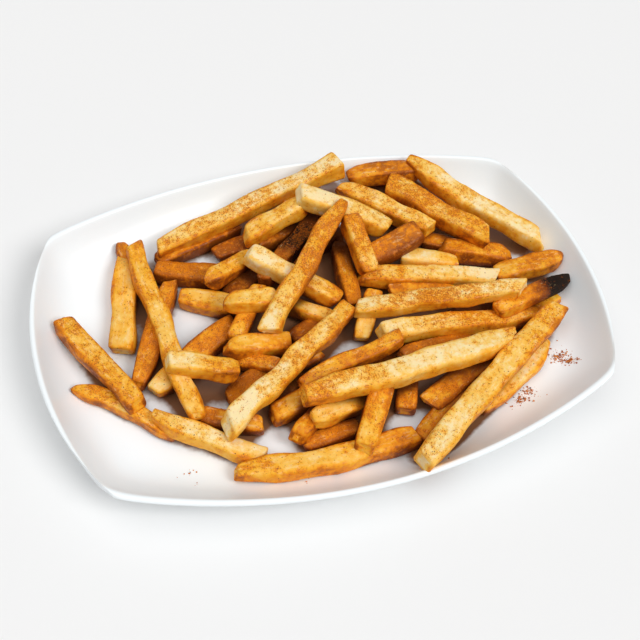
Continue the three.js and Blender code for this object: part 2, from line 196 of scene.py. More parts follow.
# One row for each fry, in the order in which they were served: first end x, y, second end x, y, then width,
# thickness, the two ends' tapers and the sideways bow, as in the solid model. Next its cooking: how brown it
# is at the first end, the middle and the second end, from 0 for pale to 1 for burnt, and more for an end that
# is burnt far in, and how much paprika lies there, from 0 to 1. Some rows end with how steeply the two ends
# are cut across: a positive slope leaves the left side longer, seen from the first end, and a negative one
# the right side.
LOWER_FRIES = (
    ((-95, -25, -46, 4), (13, 10, 0.62, 0.8, 0), (0.25, 0.6, 0.85), (0.1, 0.6, 0.8)),
    ((-75, 50, -28, 63), (9, 9, 0.8, 0.8, 0), (0.6, 0.62, 0.6), (0.4, 0.3, 0.3)),
    ((-46, 47, -20, 51), (10, 9, 0.8, 0.8, 0), (0.8, 0.82, 0.8), (0.5, 0.5, 0.5)),
    ((-23, 49, 10, 58), (10, 9, 0.8, 0.8, 0), (0.85, 0.85, 0.8), (0.6, 0.6, 0.6)),
    ((40, 84, 84, 80), (12, 10, 0.5, 0.8, 0), (0.5, 0.58, 0.6), (0.3, 0.3, 0.4)),
    ((-77, 47.7, -42, 29.5), (11.8, 10, 0.85, 0.7, 0), (0.7, 0.75, 0.6), (0.8, 0.8, 0.5)),
    ((-70, 24.5, -36, 9.5), (11.5, 9, 0.85, 0.8, 0), (0.38, 0.42, 0.45), (0.3, 0.3, 0.3)),
    ((-72, 35, -101, -20), (10, 10, 0.8, 0.7, 0), (0.55, 0.68, 0.7), (0.5, 0.8, 0.7)),
    ((-90.5, 57, -104, 0.5), (12, 10, 0.55, 0.9, 1), (0.4, 0.28, 0.25), (0.3, 0.3, 0.1)),
    ((-130, -12.5, -90, -51), (8.5, 7.5, 0.4, 0.6, 2), (0.42, 0.36, 0.42), (0.6, 0.5, 0.5)),
    ((-98, -36.3, -54, -71.5), (9.8, 9, 0.7, 0.9, -2), (0.42, 0.2, 0.24), (0.5, 0.3, 0.1)),
    ((-79, -42, -50, -57), (9.5, 10, 0.7, 0.8, 0), (0.8, 0.62, 0.5), (0.6, 0.4, 0.3)),
    ((-70, -75.3, 18, -79.3), (11, 10, 0.6, 0.9, -3.5), (0.42, 0.3, 0.58), (0.5, 0.2, 0.3)),
    ((-36, -70, -6, -68), (9, 8, 0.6, 0.8, 0), (0.7, 0.7, 0.7), (0.6, 0.6, 0.6)),
    ((-38, -66, -20, -54), (9, 9, 0.8, 0.8, 0), (0.55, 0.55, 0.6), (0.4, 0.4, 0.4)),
    ((17, -66, 28, -40), (11, 10, 0.9, 0.8, 0), (0.55, 0.65, 0.7), (0.6, 0.6, 0.6)),
    ((26, -36, 66, -34), (9, 8, 0.6, 0.8, 0), (0.8, 0.8, 0.75), (0.6, 0.6, 0.6)),
    ((10, -22, 28, 6), (10, 10, 0.8, 0.8, 0), (0.35, 0.4, 0.5), (0.2, 0.3, 0.3)),
    ((34, 3, 70, -6), (9, 8, 0.8, 0.8, 0), (0.6, 0.6, 0.6), (0.4, 0.4, 0.4)),
    ((-14, 33, 24, 47), (10, 10, 0.8, 0.8, 0), (0.6, 0.6, 0.6), (0.4, 0.4, 0.4)),
    ((28, 46, 64, 58), (10, 10, 0.8, 0.8, 0), (0.6, 0.6, 0.6), (0.4, 0.4, 0.4)),
    ((9, 83, -1, 60), (10, 10, 0.8, 0.8, 0), (0.6, 0.6, 0.6), (0.4, 0.4, 0.4)),
    ((-36, -30, -12, -24), (9, 9, 0.8, 0.8, 0), (0.6, 0.6, 0.6), (0.4, 0.4, 0.4)),
    ((-28.5, 22, -50.5, -6), (9.6, 9, 0.8, 0.8, 0), (0.5, 0.5, 0.5), (0.5, 0.5, 0.5)),
    ((-26, 21, 2, -9), (9, 9, 0.8, 0.8, 0), (0.3, 0.32, 0.35), (0.3, 0.3, 0.3)),
    ((-54, -18, -32, -27), (8, 8, 0.7, 0.8, 0), (0.5, 0.55, 0.6), (0.8, 0.8, 0.6)),
    ((21, -19, 106, -30.5), (10.5, 10, 0.9, 0.8, 0), (0.2, 0.38, 0.42), (0.3, 0.7, 0.5)),
    ((84, -22, 133, -12), (10, 9, 0.8, 0.5, 0), (0.42, 0.5, 1.55), (0.4, 0.3, 0.1), (0, 0.7)),
    ((94, -1.3, 136, 1.7), (11.7, 10, 0.9, 0.3, 0), (0.45, 0.5, 0.62), (0.4, 0.4, 0.4), (0, 0.7)),
    ((70, 23, 108, 9), (11, 11, 0.9, 0.3, 0), (0.7, 0.6, 0.6), (0.6, 0.6, 0.4)),
    ((101.5, -44, 52, -74.5), (10.5, 8, 0.7, 0.7, 3), (0.28, 0.26, 0.35), (0.3, 0.3, 0.3)),
)
UPPER_FRIES = (
    ((48, 22, 78, 14), (10, 10, 0.8, 0.8, 0), (0.12, 0.15, 0.4), (0.1, 0.1, 0.3)),
    ((16, 62, -26, 24), (9.5, 9, 0.8, 0.8, 0), (2.0, 0.8, 0.85), (0.9, 0.8, 0.7)),
    ((-28, 55.3, 12, 70.3), (11, 10, 0.85, 0.8, 0), (0.4, 0.32, 0.3), (0.4, 0.4, 0.3)),
    ((-55, 30.5, -27, 42.3), (10, 10, 0.4, 0.8, 0), (0.55, 0.48, 0.5), (0.4, 0.4, 0.4)),
    ((-29, 45, 8, 4), (10.5, 10, 0.9, 0.8, 0), (0, 0.2, 0.5), (0.2, 0.4, 0.6)),
    ((33, 79, 72, 36), (10.5, 10, 0.4, 0.9, 0), (0.45, 0.34, 0.42), (0.5, 0.5, 0.5)),
    ((28, -65, 72, -47.5), (12.5, 10, 0.9, 0.7, 0), (0.55, 0.6, 0.6), (0.5, 0.5, 0.5)),
    ((-46, -53, -12, -42), (11, 10, 0.85, 0.8, 0), (0.55, 0.42, 0.5), (0.4, 0.3, 0.3)),
    ((-28, -59, 8, -53), (10, 9, 0.7, 0.8, 0), (0.28, 0.25, 0.4), (0.3, 0.3, 0.3)),
    ((11, -48, -9, -80), (11.5, 10, 0.9, 0.85, 0), (0.55, 0.5, 0.42), (0.5, 0.5, 0.3)),
    ((-27, -37, 26, -33), (8.5, 9, 0.6, 0.9, 0), (0.55, 0.55, 0.55), (0.6, 0.6, 0.6)),
    ((-84.8, 64, -79, -43), (10, 10, 0.95, 0.8, 0), (0.5, 0.36, 0.34), (0.4, 0.4, 0.3), (0.5, 0.3)),
    ((40, 95, -73.5, 58), (10.8, 9.6, 1.25, 0.85, 0), (0.2, 0.22, 0.36), (0.4, 0.6, 0.5), (0, 0.4)),
    ((-127.5, 25, -103, -31), (11, 10, 0.9, 0.95, 0), (0.5, 0.5, 0.55), (0.6, 0.6, 0.5), (-0.3, 0)),
    ((9.5, 79.5, 50.5, 43.5), (12, 10, 0.95, 0.8, 0), (0.02, 0.14, 0.3), (0.1, 0.3, 0.5), (0.3, 0.3)),
    ((78.7, 90, 129.5, 13.5), (11.5, 9.5, 0.35, 1, -3), (0.36, 0.12, 0.1), (0.5, 0.35, 0.1), (0, -0.6)),
    ((63, 79, 100.5, 22.5), (13, 12, 1.05, 0.95, 0), (0.45, 0.4, 0.42), (0.8, 0.8, 0.6), (0.3, -0.65)),
    ((20, 41, 13, -2), (9.5, 9, 0.4, 0.8, 0), (0.62, 0.68, 0.72), (0.7, 0.7, 0.7)),
    ((21, 15, 98, 1), (10.5, 10, 0.8, 1, 0), (0.42, 0.26, 0.05), (0.7, 0.35, 0.1), (-0.3, 0.6)),
    ((13, -3, 107, -12), (10, 10, 0.8, 0.9, 0), (0.12, 0.38, 0.15), (0.4, 1, 0.3), (-0.4, 0.95)),
    ((-50, 16, -20, 13), (10, 10, 0.4, 0.8, 0), (0.5, 0.35, 0.4), (0.3, 0.3, 0.3)),
    ((-56, -8, -22, -12), (10.5, 10, 0.6, 0.8, -1), (0.5, 0.42, 0.55), (0.3, 0.3, 0.3)),
    ((-85, -10, -53, -24), (10.5, 10, 0.8, 0.8, 0), (0.12, 0.35, 0.5), (0.2, 0.4, 0.5)),
    ((31, 32, 66, 37), (13, 11, 0.85, 0.85, 0), (0.62, 0.82, 0.86), (0.7, 0.5, 0.45)),
    ((118.3, -28, 14.5, -93.7), (12.8, 12, 0.7, 0.9, -1), (0.44, 0.3, 0.16), (0.5, 0.35, 0.4), (0.4, 0.25)),
    ((-28, -45, 89, -38), (12.5, 10, 0.8, 0.45, -2), (0.4, 0.1, 0.22), (0.7, 0.2, 0.3), (0, 0.9)),
    ((31, 57, 30.5, 18), (10.5, 10, 0.8, 0.9, 0), (0.5, 0.42, 0.38), (0.7, 0.7, 0.6)),
    ((33, 69, -34, -6), (10.5, 10, 0.4, 0.95, 0), (0.5, 0.5, 0.12), (0.8, 0.85, 0.3), (0, -0.5)),
    ((12, -1, -68, -53), (11, 10, 0.8, 1, 0), (0.48, 0.3, 0), (0.6, 0.55, 0.15), (0, 0.5)),
)
# Thin ends on the glaze, low enough that nothing above rests on them. They fill the gaps in the heap, and
# their dark browning is painted shade in those gaps.
TUCKED_FRIES = (
    ((-47, 19, -22, 35), (11, 7, 0.8, 0.8, 0), (0.95, 0.95, 0.95), (0.5, 0.5, 0.5)),
    ((-23, -14, -4, -4), (9, 7, 0.8, 0.8, 0), (0.95, 0.95, 0.95), (0.5, 0.5, 0.5)),
    ((-63, -39, -41, -28), (11, 7, 0.8, 0.8, 0), (0.8, 0.84, 0.9), (0.7, 0.7, 0.7)),
    ((-45, -45, -23, -35), (9, 7, 0.8, 0.8, 0), (0.85, 0.9, 0.9), (0.6, 0.6, 0.6)),
    ((17, -82, 55, -60), (11, 7, 0.8, 0.8, 0), (0.62, 0.6, 0.7), (0.5, 0.5, 0.5)),
    ((12, -39.5, 40, -32), (8.5, 7, 0.8, 0.8, 0), (0.85, 0.88, 0.85), (0.6, 0.6, 0.6)),
    ((59, -20, 87, -21), (9, 7, 0.8, 0.8, 0), (0.88, 0.9, 0.85), (0.5, 0.5, 0.5)),
    ((62, -51, 84, -43), (8, 7, 0.8, 0.8, 0), (0.8, 0.8, 0.75), (0.5, 0.5, 0.5)),
    ((84, -29, 122, -22), (9, 7, 0.8, 0.6, 0), (0.5, 0.45, 0.5), (0.4, 0.4, 0.4)),
    ((63, 33, 84, 22), (10, 7, 0.8, 0.8, 0), (0.7, 0.65, 0.6), (0.7, 0.6, 0.6)),
    ((-90, 67, -89, 37), (7.5, 7, 0.5, 0.8, 0), (0.75, 0.7, 0.7), (0.4, 0.4, 0.4)),
)

# The grid of heights that tells how deep a place lies in the heap.
SHELTER_CELL = 1
SHELTER_REACH = 7  # how far it is softened
SHELTER_SPAN = 3  # reaches to each side at which the softening stops

# Spilt paprika on the glaze: middle x, y, half-sizes and number of grains.
CRUMB_PATCHES = (
    (116, -54, 3.4, 2.4, 130),
    (112.5, -49, 4.2, 3.2, 100),
    (110, -49, 8, 7, 60),
    (87, -64.5, 3.4, 2.4, 70),
    (80, -68.6, 3.8, 2.2, 80),
    (82, -67, 10, 6, 60),
    (-86, -64, 4.5, 2.4, 9),
    (-85.5, -71, 1.6, 1.2, 4),
    (30, -93, 3, 1.5, 3),
    (-36, -82, 5, 2, 4),
)
CRUMB_SIZES = (0.24, 1.35)
FRY_GRAIN_SIZES = (0.25, 0.62)
GRAIN_STRETCH = (0.55, 1.45)
GRAIN_CHIPPING = (0.8, 1.2)
GRAIN_TILT = 0.5
GRAIN_LIFT = 0.12  # how high a grain's middle lies, as a share of its size
GRAIN_SLOPE = 0.35  # the least upward part of the normal where a grain stays on a fry
GRAIN_TRIES = 12  # spots that are tried for each grain
SPICE_CONTRAST = 1.5
GRAIN_SEED = 977

# ---------------------------------------------------------------- the camera and the studio

CAMERA_AZIMUTH = -26.704
CAMERA_ELEVATION = 53.591
CAMERA_ROLL = 10
CAMERA_DISTANCE = 526.33
CAMERA_TARGET = (-5.504, -4.976, 20)
SENSOR_WIDTH = 36
FOCAL_LENGTH = 59.35
STAGE_RADIUS = 6000
OVERHEAD_ELEVATION = math.radians(74)
OVERHEAD_AZIMUTH = math.radians(-80)
CLIP_END = 100


# ================================================================ the platter's surfaces


def outline_value(x, y, inset):
    """Below 1 inside the platter's outline drawn in by an inset, above 1 outside it."""
    length = HALF_LENGTH - inset
    width = HALF_WIDTH - inset
    across = length - END_BOW * (y / width) ** 2
    along = width - SIDE_BOW * (x / length) ** 2
    outside = (across <= 0) | (along <= 0)
    across = np.where(outside, 1, across)
    along = np.where(outside, 1, along)
    with np.errstate(over="ignore"):
        value = (np.abs(x) / across) ** CORNER_POWER + (np.abs(y) / along) ** CORNER_POWER
    return np.where(outside, np.inf, value)


def bisect(low, high, is_low, like):
    """Where is_low turns from true to false, for a whole array of values at once."""
    low = np.full(np.shape(like), float(low))
    high = np.full(np.shape(like), float(high))
    for _ in range(BISECTIONS):
        middle = (low + high) / 2
        lower = is_low(middle)
        low = np.where(lower, middle, low)
        high = np.where(lower, high, middle)
    return (low + high) / 2


def inset_at(x, y):
    """How far in from the rim's outer edge a place lies, up to the flat well."""
    return bisect(0, WALL_INSET, lambda inset: outline_value(x, y, inset) < 1, x)


def rim_rise(x, y):
    """The rim climbs towards the ends and the corners."""
    u = (x / HALF_LENGTH) ** 2
    w = (y / HALF_WIDTH) ** 2
    return END_RISE * u + SIDE_RISE * w + CORNER_RISE * u * w


def inner_height(x, y, inset):
    """The inside of the wall, from the lip down to the flat well."""
    share = np.clip((WALL_INSET - inset) / (WALL_INSET - LIP_INSET), 0, 1)
    return FLOOR_HEIGHT + (RIM_HEIGHT + rim_rise(x, y) - FLOOR_HEIGHT) * share**INNER_WALL_POWER


def glaze_height(x, y):
    return inner_height(x, y, inset_at(x, y))


# ================================================================ how the fries come to rest


class Fry:
    """One fry: its size, its cooking, and the axis that it comes to rest on."""

    def __init__(self, row, number):
        ends, size, browning, spice, *cuts = row
        self.number = number
        self.ends = ends
        self.width, self.thick, self.taper0, self.taper1, self.bow = size
        self.browning = browning
        self.spice = spice
        self.cuts = cuts

    def lay(self, z0, z1):
        """Lays the axis between two end heights, each end on its line of sight."""
        self.z0, self.z1 = z0, z1
        self.x0, self.y0 = sighted(self.ends[0], self.ends[1], z0)
        self.x1, self.y1 = sighted(self.ends[2], self.ends[3], z1)
        self.length = math.hypot(self.x1 - self.x0, self.y1 - self.y0)
        self.ux = (self.x1 - self.x0) / self.length
        self.uy = (self.y1 - self.y0) / self.length


def sighted(x, y, z):
    """Where a listed place lies at another height: moved along the line of sight from the eye."""
    share = (z - SIGHT_HEIGHT) / (EYE[2] - SIGHT_HEIGHT)
    return x + (EYE[0] - x) * share, y + (EYE[1] - y) * share


def fullness(share, taper0, taper1):
    """How full a fry is at a share of its length, narrowing in a quarter wave to each end."""
    first = taper0 + (1 - taper0) * np.sin(math.pi / 2 * np.clip(share / END_LENGTH, 0, 1))
    last = taper1 + (1 - taper1) * np.sin(math.pi / 2 * np.clip((1 - share) / END_LENGTH, 0, 1))
    full = np.where(share < END_LENGTH, first, 1.0)
    return np.where(share > 1 - END_LENGTH, np.minimum(full, last), full)


def bow_at(bow, share):
    """How far a fry's middle line bows aside at a share of its length."""
    return bow * 4 * share * (1 - share)


def laid_tops(laid, x, y):
    """The height of the highest laid fry over each point, or minus infinity."""
    if not laid:
        return np.full(x.shape, -np.inf)
    names = ("x0", "y0", "z0", "z1", "ux", "uy", "length", "width", "thick", "taper0", "taper1", "bow")
    x0, y0, z0, z1, ux, uy, length, width, thick, taper0, taper1, bow = (
        np.array([getattr(fry, name) for fry in laid]) for name in names
    )
    dx, dy = x[:, None] - x0, y[:, None] - y0
    along = (dx * ux + dy * uy) / length
    full = fullness(along, taper0, taper1)
    off = np.abs(dy * ux - dx * uy - bow_at(bow, along))
    share = off / (0.5 * width * full)
    over = (along >= 0) & (along <= 1) & (share <= 1)
    rise = (thick / 2) * full * np.sqrt(np.clip(1 - share**TOP_POWER, 0, 1))
    return np.where(over, z0 + (z1 - z0) * along + rise, -np.inf).max(axis=1)


def core_top(x, y):
    """The top of the low core under the heap, or minus infinity beside it."""
    q = ((x - CORE["x"]) / CORE["half_length"]) ** 2 + ((y - CORE["y"]) / CORE["half_width"]) ** 2
    return np.where(q < 1, FLOOR_HEIGHT + CORE["height"] * np.sqrt(np.clip(1 - q, 0, 1)), -np.inf)


def needed_heights(fry, shares, laid):
    """The axis height that each station of a fry needs to clear the glaze and rest on what is below."""
    full = fullness(shares, fry.taper0, fry.taper1)
    needed = np.full(shares.shape, -np.inf)
    for side, depth in CONTACTS:
        off = bow_at(fry.bow, shares) + side * fry.width * full
        x = fry.x0 + fry.ux * fry.length * shares - fry.uy * off
        y = fry.y0 + fry.uy * fry.length * shares + fry.ux * off
        below = depth * fry.thick * full
        needed = np.maximum(needed, glaze_height(x, y) + GAP + below)
        if depth == UNDERSIDE:
            carried = np.maximum(laid_tops(laid, x, y), core_top(x, y))
            needed = np.maximum(needed, carried - BITE + below)
    return needed


def resting_ends(fry, laid):
    """The axis heights at a fry's two ends when it lies on one support on each side of its middle."""
    shares = (np.arange(SETTLE_STATIONS) + 0.5) / SETTLE_STATIONS
    needed = needed_heights(fry, shares, laid)
    half = SETTLE_STATIONS // 2
    low, high = shares[:half, None], shares[None, half:]
    slopes = (needed[None, half:] - needed[:half, None]) / (high - low)
    middles = needed[:half, None] + slopes * (0.5 - low)
    best = np.unravel_index(np.argmax(middles), middles.shape)
    middle, slope = middles[best], slopes[best]
    limit = STEEPEST * fry.length
    if abs(slope) > limit:
        slope = math.copysign(limit, slope)
        middle = (needed - slope * (shares - 0.5)).max()
    return middle - slope / 2, middle + slope / 2


def settle(fry, laid, start_height):
    """Lets a fry down its lines of sight in small steps until it touches, and then straight down to rest."""
    fry.lay(start_height, start_height)
    while True:
        rest0, rest1 = resting_ends(fry, laid)
        step0 = min(max(fry.z0 - rest0, 0), SETTLE_STEP)
        step1 = min(max(fry.z1 - rest1, 0), SETTLE_STEP)
        if step0 < SETTLE_STEP and step1 < SETTLE_STEP:
            fry.lay((fry.z0 + rest0) / 2, (fry.z1 + rest1) / 2)
            fry.z0, fry.z1 = resting_ends(fry, laid)
            return
        fry.lay(fry.z0 - step0, fry.z1 - step1)


@functools.cache
def serve_fries():
    """Every fry at rest, in the order in which they were served."""
    laid = []
    for rows, height in ((LOWER_FRIES, DROP_HEIGHTS["lower"]), (UPPER_FRIES, DROP_HEIGHTS["upper"])):
        for row in rows:
            fry = Fry(row, len(laid))
            settle(fry, laid, height)
            laid.append(fry)
    tucked = [Fry(row, len(laid) + number) for number, row in enumerate(TUCKED_FRIES)]
    for fry in tucked:
        settle(fry, [], DROP_HEIGHTS["lower"])
    return laid + tucked


class Shelter:
    """How deep a place lies in the heap: below the fries' tops, softened over a few millimetres."""

    def __init__(self, fries):
        self.columns = math.ceil(HALF_LENGTH / SHELTER_CELL)
        self.rows = math.ceil(HALF_WIDTH / SHELTER_CELL)
        x = np.arange(-self.columns, self.columns + 1) * float(SHELTER_CELL)
        y = np.arange(-self.rows, self.rows + 1) * float(SHELTER_CELL)
        tops = np.array([laid_tops(fries, x, np.full(x.shape, line)) for line in y])
        self.tops = np.maximum(tops, FLOOR_HEIGHT)
        span = SHELTER_SPAN * SHELTER_REACH
        steps = np.arange(-span, span + SHELTER_CELL, SHELTER_CELL)
        weights = np.exp(-((steps / SHELTER_REACH) ** 2))
        weights /= weights.sum()
        for axis in (0, 1):
            self.tops = np.apply_along_axis(np.convolve, axis, self.tops, weights, "same")

    def depth(self, x, y, z):
        """How far below the softened tops each place lies, read between the grid's four nearest points."""
        column, right = self._cell(x, self.columns)
        row, up = self._cell(y, self.rows)
        near = self.tops[row, column] * (1 - right) + self.tops[row, column + 1] * right
        far = self.tops[row + 1, column] * (1 - right) + self.tops[row + 1, column + 1] * right
        return near * (1 - up) + far * up - z

    def _cell(self, places, half_count):
        """The grid cell that each place lies in, and how far across that cell it is."""
        steps = np.clip(places / SHELTER_CELL + half_count, 0, 2 * half_count - 1)
        cells = np.floor(steps).astype(int)
        return cells, steps - cells


# ================================================================ meshes


def ring_faces(first, rings, count):
    """Quads between neighbouring rings of count vertices each."""
    ring, step = np.meshgrid(np.arange(rings - 1), np.arange(count), indexing="ij")
    a = first + ring * count + step
    b = first + ring * count + (step + 1) % count
    return np.stack([a, b, b + count, a + count], axis=-1).reshape(-1, 4).tolist()


def fan_faces(ring_start, count, tip, turned):
    """Triangles from a ring of count vertices to one vertex at its middle."""
    faces = []
    for i in range(count):
        edge = [ring_start + i, ring_start + (i + 1) % count]
        faces.append([tip] + (edge[::-1] if turned else edge))
    return faces


def make_piece(name, vertices, faces, material):
    """A smooth mesh object from vertices in millimetres."""
    mesh = bpy.data.meshes.new(name)
    mesh.from_pydata((np.asarray(vertices) * MM).tolist(), [], faces)
    mesh.shade_smooth()
    mesh.materials.append(material)
    piece = bpy.data.objects.new(name, mesh)
    bpy.context.scene.collection.objects.link(piece)
    return piece


def add_attribute(piece, name, kind, values):
    """Gives each vertex a value that the piece's material reads."""
    attribute = piece.data.attributes.new(name, kind, "POINT")
    field = "vector" if kind == "FLOAT_VECTOR" else "value"
    attribute.data.foreach_set(field, np.asarray(values, np.float32).ravel())


def place_piece(piece, slot, *nodes):
    """Puts a finished piece on the part's one body and hides the solids it stands for. Its slot is not used.
    """
    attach(piece, "root")
    if nodes:
        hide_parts(*nodes)


# ---------------------------------------------------------------- the platter


def platter_profile():
    """The platter's section from under its middle to over it: for each ring its kind, its inset or its share
    of the way out, and its height function."""
    steps = []
    for share in UNDERSIDE_SHARES:
        steps.append(("middle", share, level(UNDERSIDE_HEIGHT)))
    for t in np.linspace(1, -1, FOOT_RINGS):
        ends = UNDERSIDE_HEIGHT if t > 0 else OUTER_FOOT_HEIGHT
        steps.append(("inset", FOOT_MIDDLE_INSET + FOOT_HALF_WIDTH * t, level(ends * abs(t) ** FOOT_POWER)))
    wall_top = lip_point(LIP_OUTER_ANGLE)[0]
    for share in np.linspace(0, 1, OUTER_WALL_RINGS + 1)[1:-1]:
        steps.append(("inset", OUTER_FOOT_INSET + (wall_top - OUTER_FOOT_INSET) * share, outer_height))
    for angle in np.linspace(LIP_OUTER_ANGLE, LIP_INNER_ANGLE, LIP_RINGS):
        inset, offset = lip_point(angle)
        steps.append(("inset", inset, lip_height(offset)))
    for share in np.linspace(0, 1, INNER_WALL_RINGS + 1)[1:]:
        steps.append(("inset", LIP_INSET + (WALL_INSET - LIP_INSET) * share, inner_height))
    for share in np.linspace(1, 0, WELL_RINGS + 1)[1:-1]:
        steps.append(("well", share, level(FLOOR_HEIGHT)))
    return steps


def level(height):
    """A height function that is the same all over."""
    return lambda x, y, inset: np.full(x.shape, float(height))


def lip_height(offset):
    """A height function that climbs with the rim."""
    return lambda x, y, inset: RIM_HEIGHT + rim_rise(x, y) + offset


def lip_point(angle):
    """A point of the lip's round edge: its inset, and its height over the rim's own."""
    inset = LIP_MIDDLE[0] - LIP_RADII[0] * math.cos(angle)
    return inset, LIP_MIDDLE[1] + LIP_RADII[1] * math.sin(angle)


def outer_height(x, y, inset):
    """The outside of the wall, from the foot up to the lip."""
    top_inset, top_offset = lip_point(LIP_OUTER_ANGLE)
    share = (OUTER_FOOT_INSET - inset) / (OUTER_FOOT_INSET - top_inset)
    climb = RIM_HEIGHT + top_offset + rim_rise(x, y) - OUTER_FOOT_HEIGHT
    return OUTER_FOOT_HEIGHT + climb * share**OUTER_WALL_POWER


def platter_mesh():
    angles = (np.arange(PLATTER_STEPS) + 0.5) / PLATTER_STEPS * 2 * math.pi
    c, s = np.cos(angles), np.sin(angles)
    rings = []
    for kind, value, height in platter_profile():
        inset = {"middle": FOOT_MIDDLE_INSET + FOOT_HALF_WIDTH, "well": WALL_INSET}.get(kind, value)
        reach = bisect(0, HALF_LENGTH, lambda r, d=inset: outline_value(r * c, r * s, d) < 1, c)
        x, y = reach * c, reach * s
        if kind != "inset":
            x, y = x * value, y * value
        rings.append(np.stack([x, y, height(x, y, inset)], axis=-1))
    count = len(rings)
    vertices = np.concatenate(rings + [[(0, 0, UNDERSIDE_HEIGHT)], [(0, 0, FLOOR_HEIGHT)]])
    faces = ring_faces(0, count, PLATTER_STEPS)
    faces += fan_faces(0, PLATTER_STEPS, count * PLATTER_STEPS, True)
    faces += fan_faces((count - 1) * PLATTER_STEPS, PLATTER_STEPS, count * PLATTER_STEPS + 1, False)
    return vertices, faces


# ---------------------------------------------------------------- the fries


def smooth_noise(points, scale, seed):
    """Soft three-dimensional noise from about -1 to 1 at points in millimetres."""
    offset = Vector([seed * stride for stride in NOISE_STRIDES])
    return np.array([noise.noise(Vector(p) / scale + offset) for p in points])


def rounded_square(power):
    """A rounded square of half-width 1, its points evenly spaced round it."""
    angle = np.linspace(0, 2 * math.pi, SECTION_SAMPLES) + SECTION_TURN
    c, s = np.cos(angle), np.sin(angle)
    x = np.sign(c) * np.abs(c) ** (2 / power)
    y = np.sign(s) * np.abs(s) ** (2 / power)
    walked = np.concatenate([[0], np.cumsum(np.hypot(np.diff(x), np.diff(y)))])
    places = np.arange(RING_POINTS) / RING_POINTS * walked[-1]
    return np.interp(places, walked, x), np.interp(places, walked, y)


def blend_stations(values, share):
    """A value given at the first end, the middle and the second end, and run straight between them."""
    return np.interp(share, BROWNING_STATIONS, values)


class Shape:
    """The chance shape of one fry: its corners, twist, slanting cuts and dents, drawn from its own seed."""

    def __init__(self, fry, relief):
        draw = np.random.default_rng(FRY_SEED + fry.number).uniform
        self.power = draw(*SECTION_POWERS)
        self.roll = math.radians(draw(-ROLL, ROLL))
        self.twist = math.radians(draw(-TWIST, TWIST))
        self.cuts = draw(-END_SLOPE, END_SLOPE, (2, 2))
        if fry.cuts:
            self.cuts[:, 0] = fry.cuts[0]
        self.dents = draw(*DENTS, 4) * relief
        self.waist = draw(*WAISTS, 2) * relief
        self.wave = draw(*WAIST_WAVES, 2)
        self.phase = draw(0, 2 * math.pi, 2)
        self.swell = draw(-SWELL, SWELL, 2)
        self.chamfers = draw(*CHAMFERS, 4)
        self.chamfer_phase = draw(0, 2 * math.pi, 4)
        self.wander = draw(-WANDER, WANDER, 2) * relief
        self.wander_wave = draw(*WANDER_WAVES, 2)
        self.rounding = draw(*ROUNDINGS)
        self.offset = draw(-POTATO_REACH, POTATO_REACH, 3)
        # Painted shade on the sides and painted light on the top, by chance amounts.
        self.painted_side_shade = draw(*PAINTED_SIDE_SHADES, 2)
        self.painted_top_light = draw(*PAINTED_TOP_LIGHTS)


def stations_along(length):
    """Distances from the first end where a fry has a ring, closer together at its rounded ends."""
    ends = np.array(END_STATIONS)
    middle_count = max(LEAST_RINGS, round((length - 2 * ends[-1]) / RING_SPACING))
    middle = np.linspace(ends[-1], length - ends[-1], middle_count + 1)
    return np.concatenate([ends[:-1], middle, length - ends[:-1][::-1]])


def sway(distances, wave, phase):
    """A wave along a fry, from -1 to 1."""
    return np.sin(2 * math.pi * distances / wave + phase)


def fry_rings(fry, shape, distances, length):
    """The fry's rings before its ends are cut: how far aside from and above its axis, a row for each ring."""
    share = distances / length
    from_end = np.minimum(distances, length - distances)
    short = np.clip(shape.rounding - from_end, 0, None)
    rounding = shape.rounding - np.sqrt(np.clip(shape.rounding**2 - short**2, 0, None))
    full = fullness(share, fry.taper0, fry.taper1)
    x, y = rounded_square(shape.power)
    half_sizes = []
    for axis, size in ((0, fry.width), (1, fry.thick)):
        wave = 1 + shape.waist[axis] * sway(distances, shape.wave[axis], shape.phase[axis])
        swell = 1 + shape.swell[axis] * (share - 0.5)
        half_size = size * PLUMPNESS / 2 * full * wave * swell - rounding
        half_sizes.append(np.maximum(half_size, LEAST_HALF_SIZE)[:, None])
    s, u = x * half_sizes[0], y * half_sizes[1]
    # Each face is a little sunken between its corners.
    for number, (across, facing) in enumerate(((x, y), (x, -y), (y, x), (y, -x))):
        sunk = shape.dents[number] * np.clip(facing, 0, 1) ** DENT_POWER * (1 - across**2)
        if number < 2:
            u = u - np.sign(y) * sunk
        else:
            s = s - np.sign(x) * sunk
    # Each long edge is worn down by its own share, more here and less there.
    for number, (turn_x, turn_y) in enumerate(((1, 1), (1, -1), (-1, 1), (-1, -1))):
        near = np.clip(x * turn_x, 0, 1) * np.clip(y * turn_y, 0, 1)
        along = 1 + CHAMFER_SWING * np.sin(distances / CHAMFER_WAVE + shape.chamfer_phase[number])
        worn = 1 - shape.chamfers[number] * along[:, None] * near**2 * CHAMFER_DEPTH
        s, u = s * worn, u * worn
    angle = (shape.roll + shape.twist * (share - 0.5))[:, None]
    s, u = s * np.cos(angle) - u * np.sin(angle), s * np.sin(angle) + u * np.cos(angle)
    aside, above = (shape.wander[k] * sway(distances, shape.wander_wave[k], shape.phase[k]) for k in (0, 1))
    return s + aside[:, None], u + above[:, None] * RISING_WANDER


def cut_ends(fry, shape, distances, length, s, u):
    """How far along the fry each ring's points lie, once both ends are cut on a slant."""
    along = distances[:, None] + np.zeros_like(s)
    for end, toward, reach in ((0, 1, distances), (1, -1, length - distances)):
        aside, upwards = shape.cuts[end]
        taper = (fry.taper0, fry.taper1)[end]
        deepest = (abs(aside) * fry.width + abs(upwards) * fry.thick) / 2 * taper
        weight = np.clip(1 - reach / min(CUT_REACH, length * CUT_REACH_SHARE), 0, 1) ** CUT_FADE
        along = along + toward * (CUT_BACK * deepest - aside * s - upwards * u) * weight[:, None]
    return along


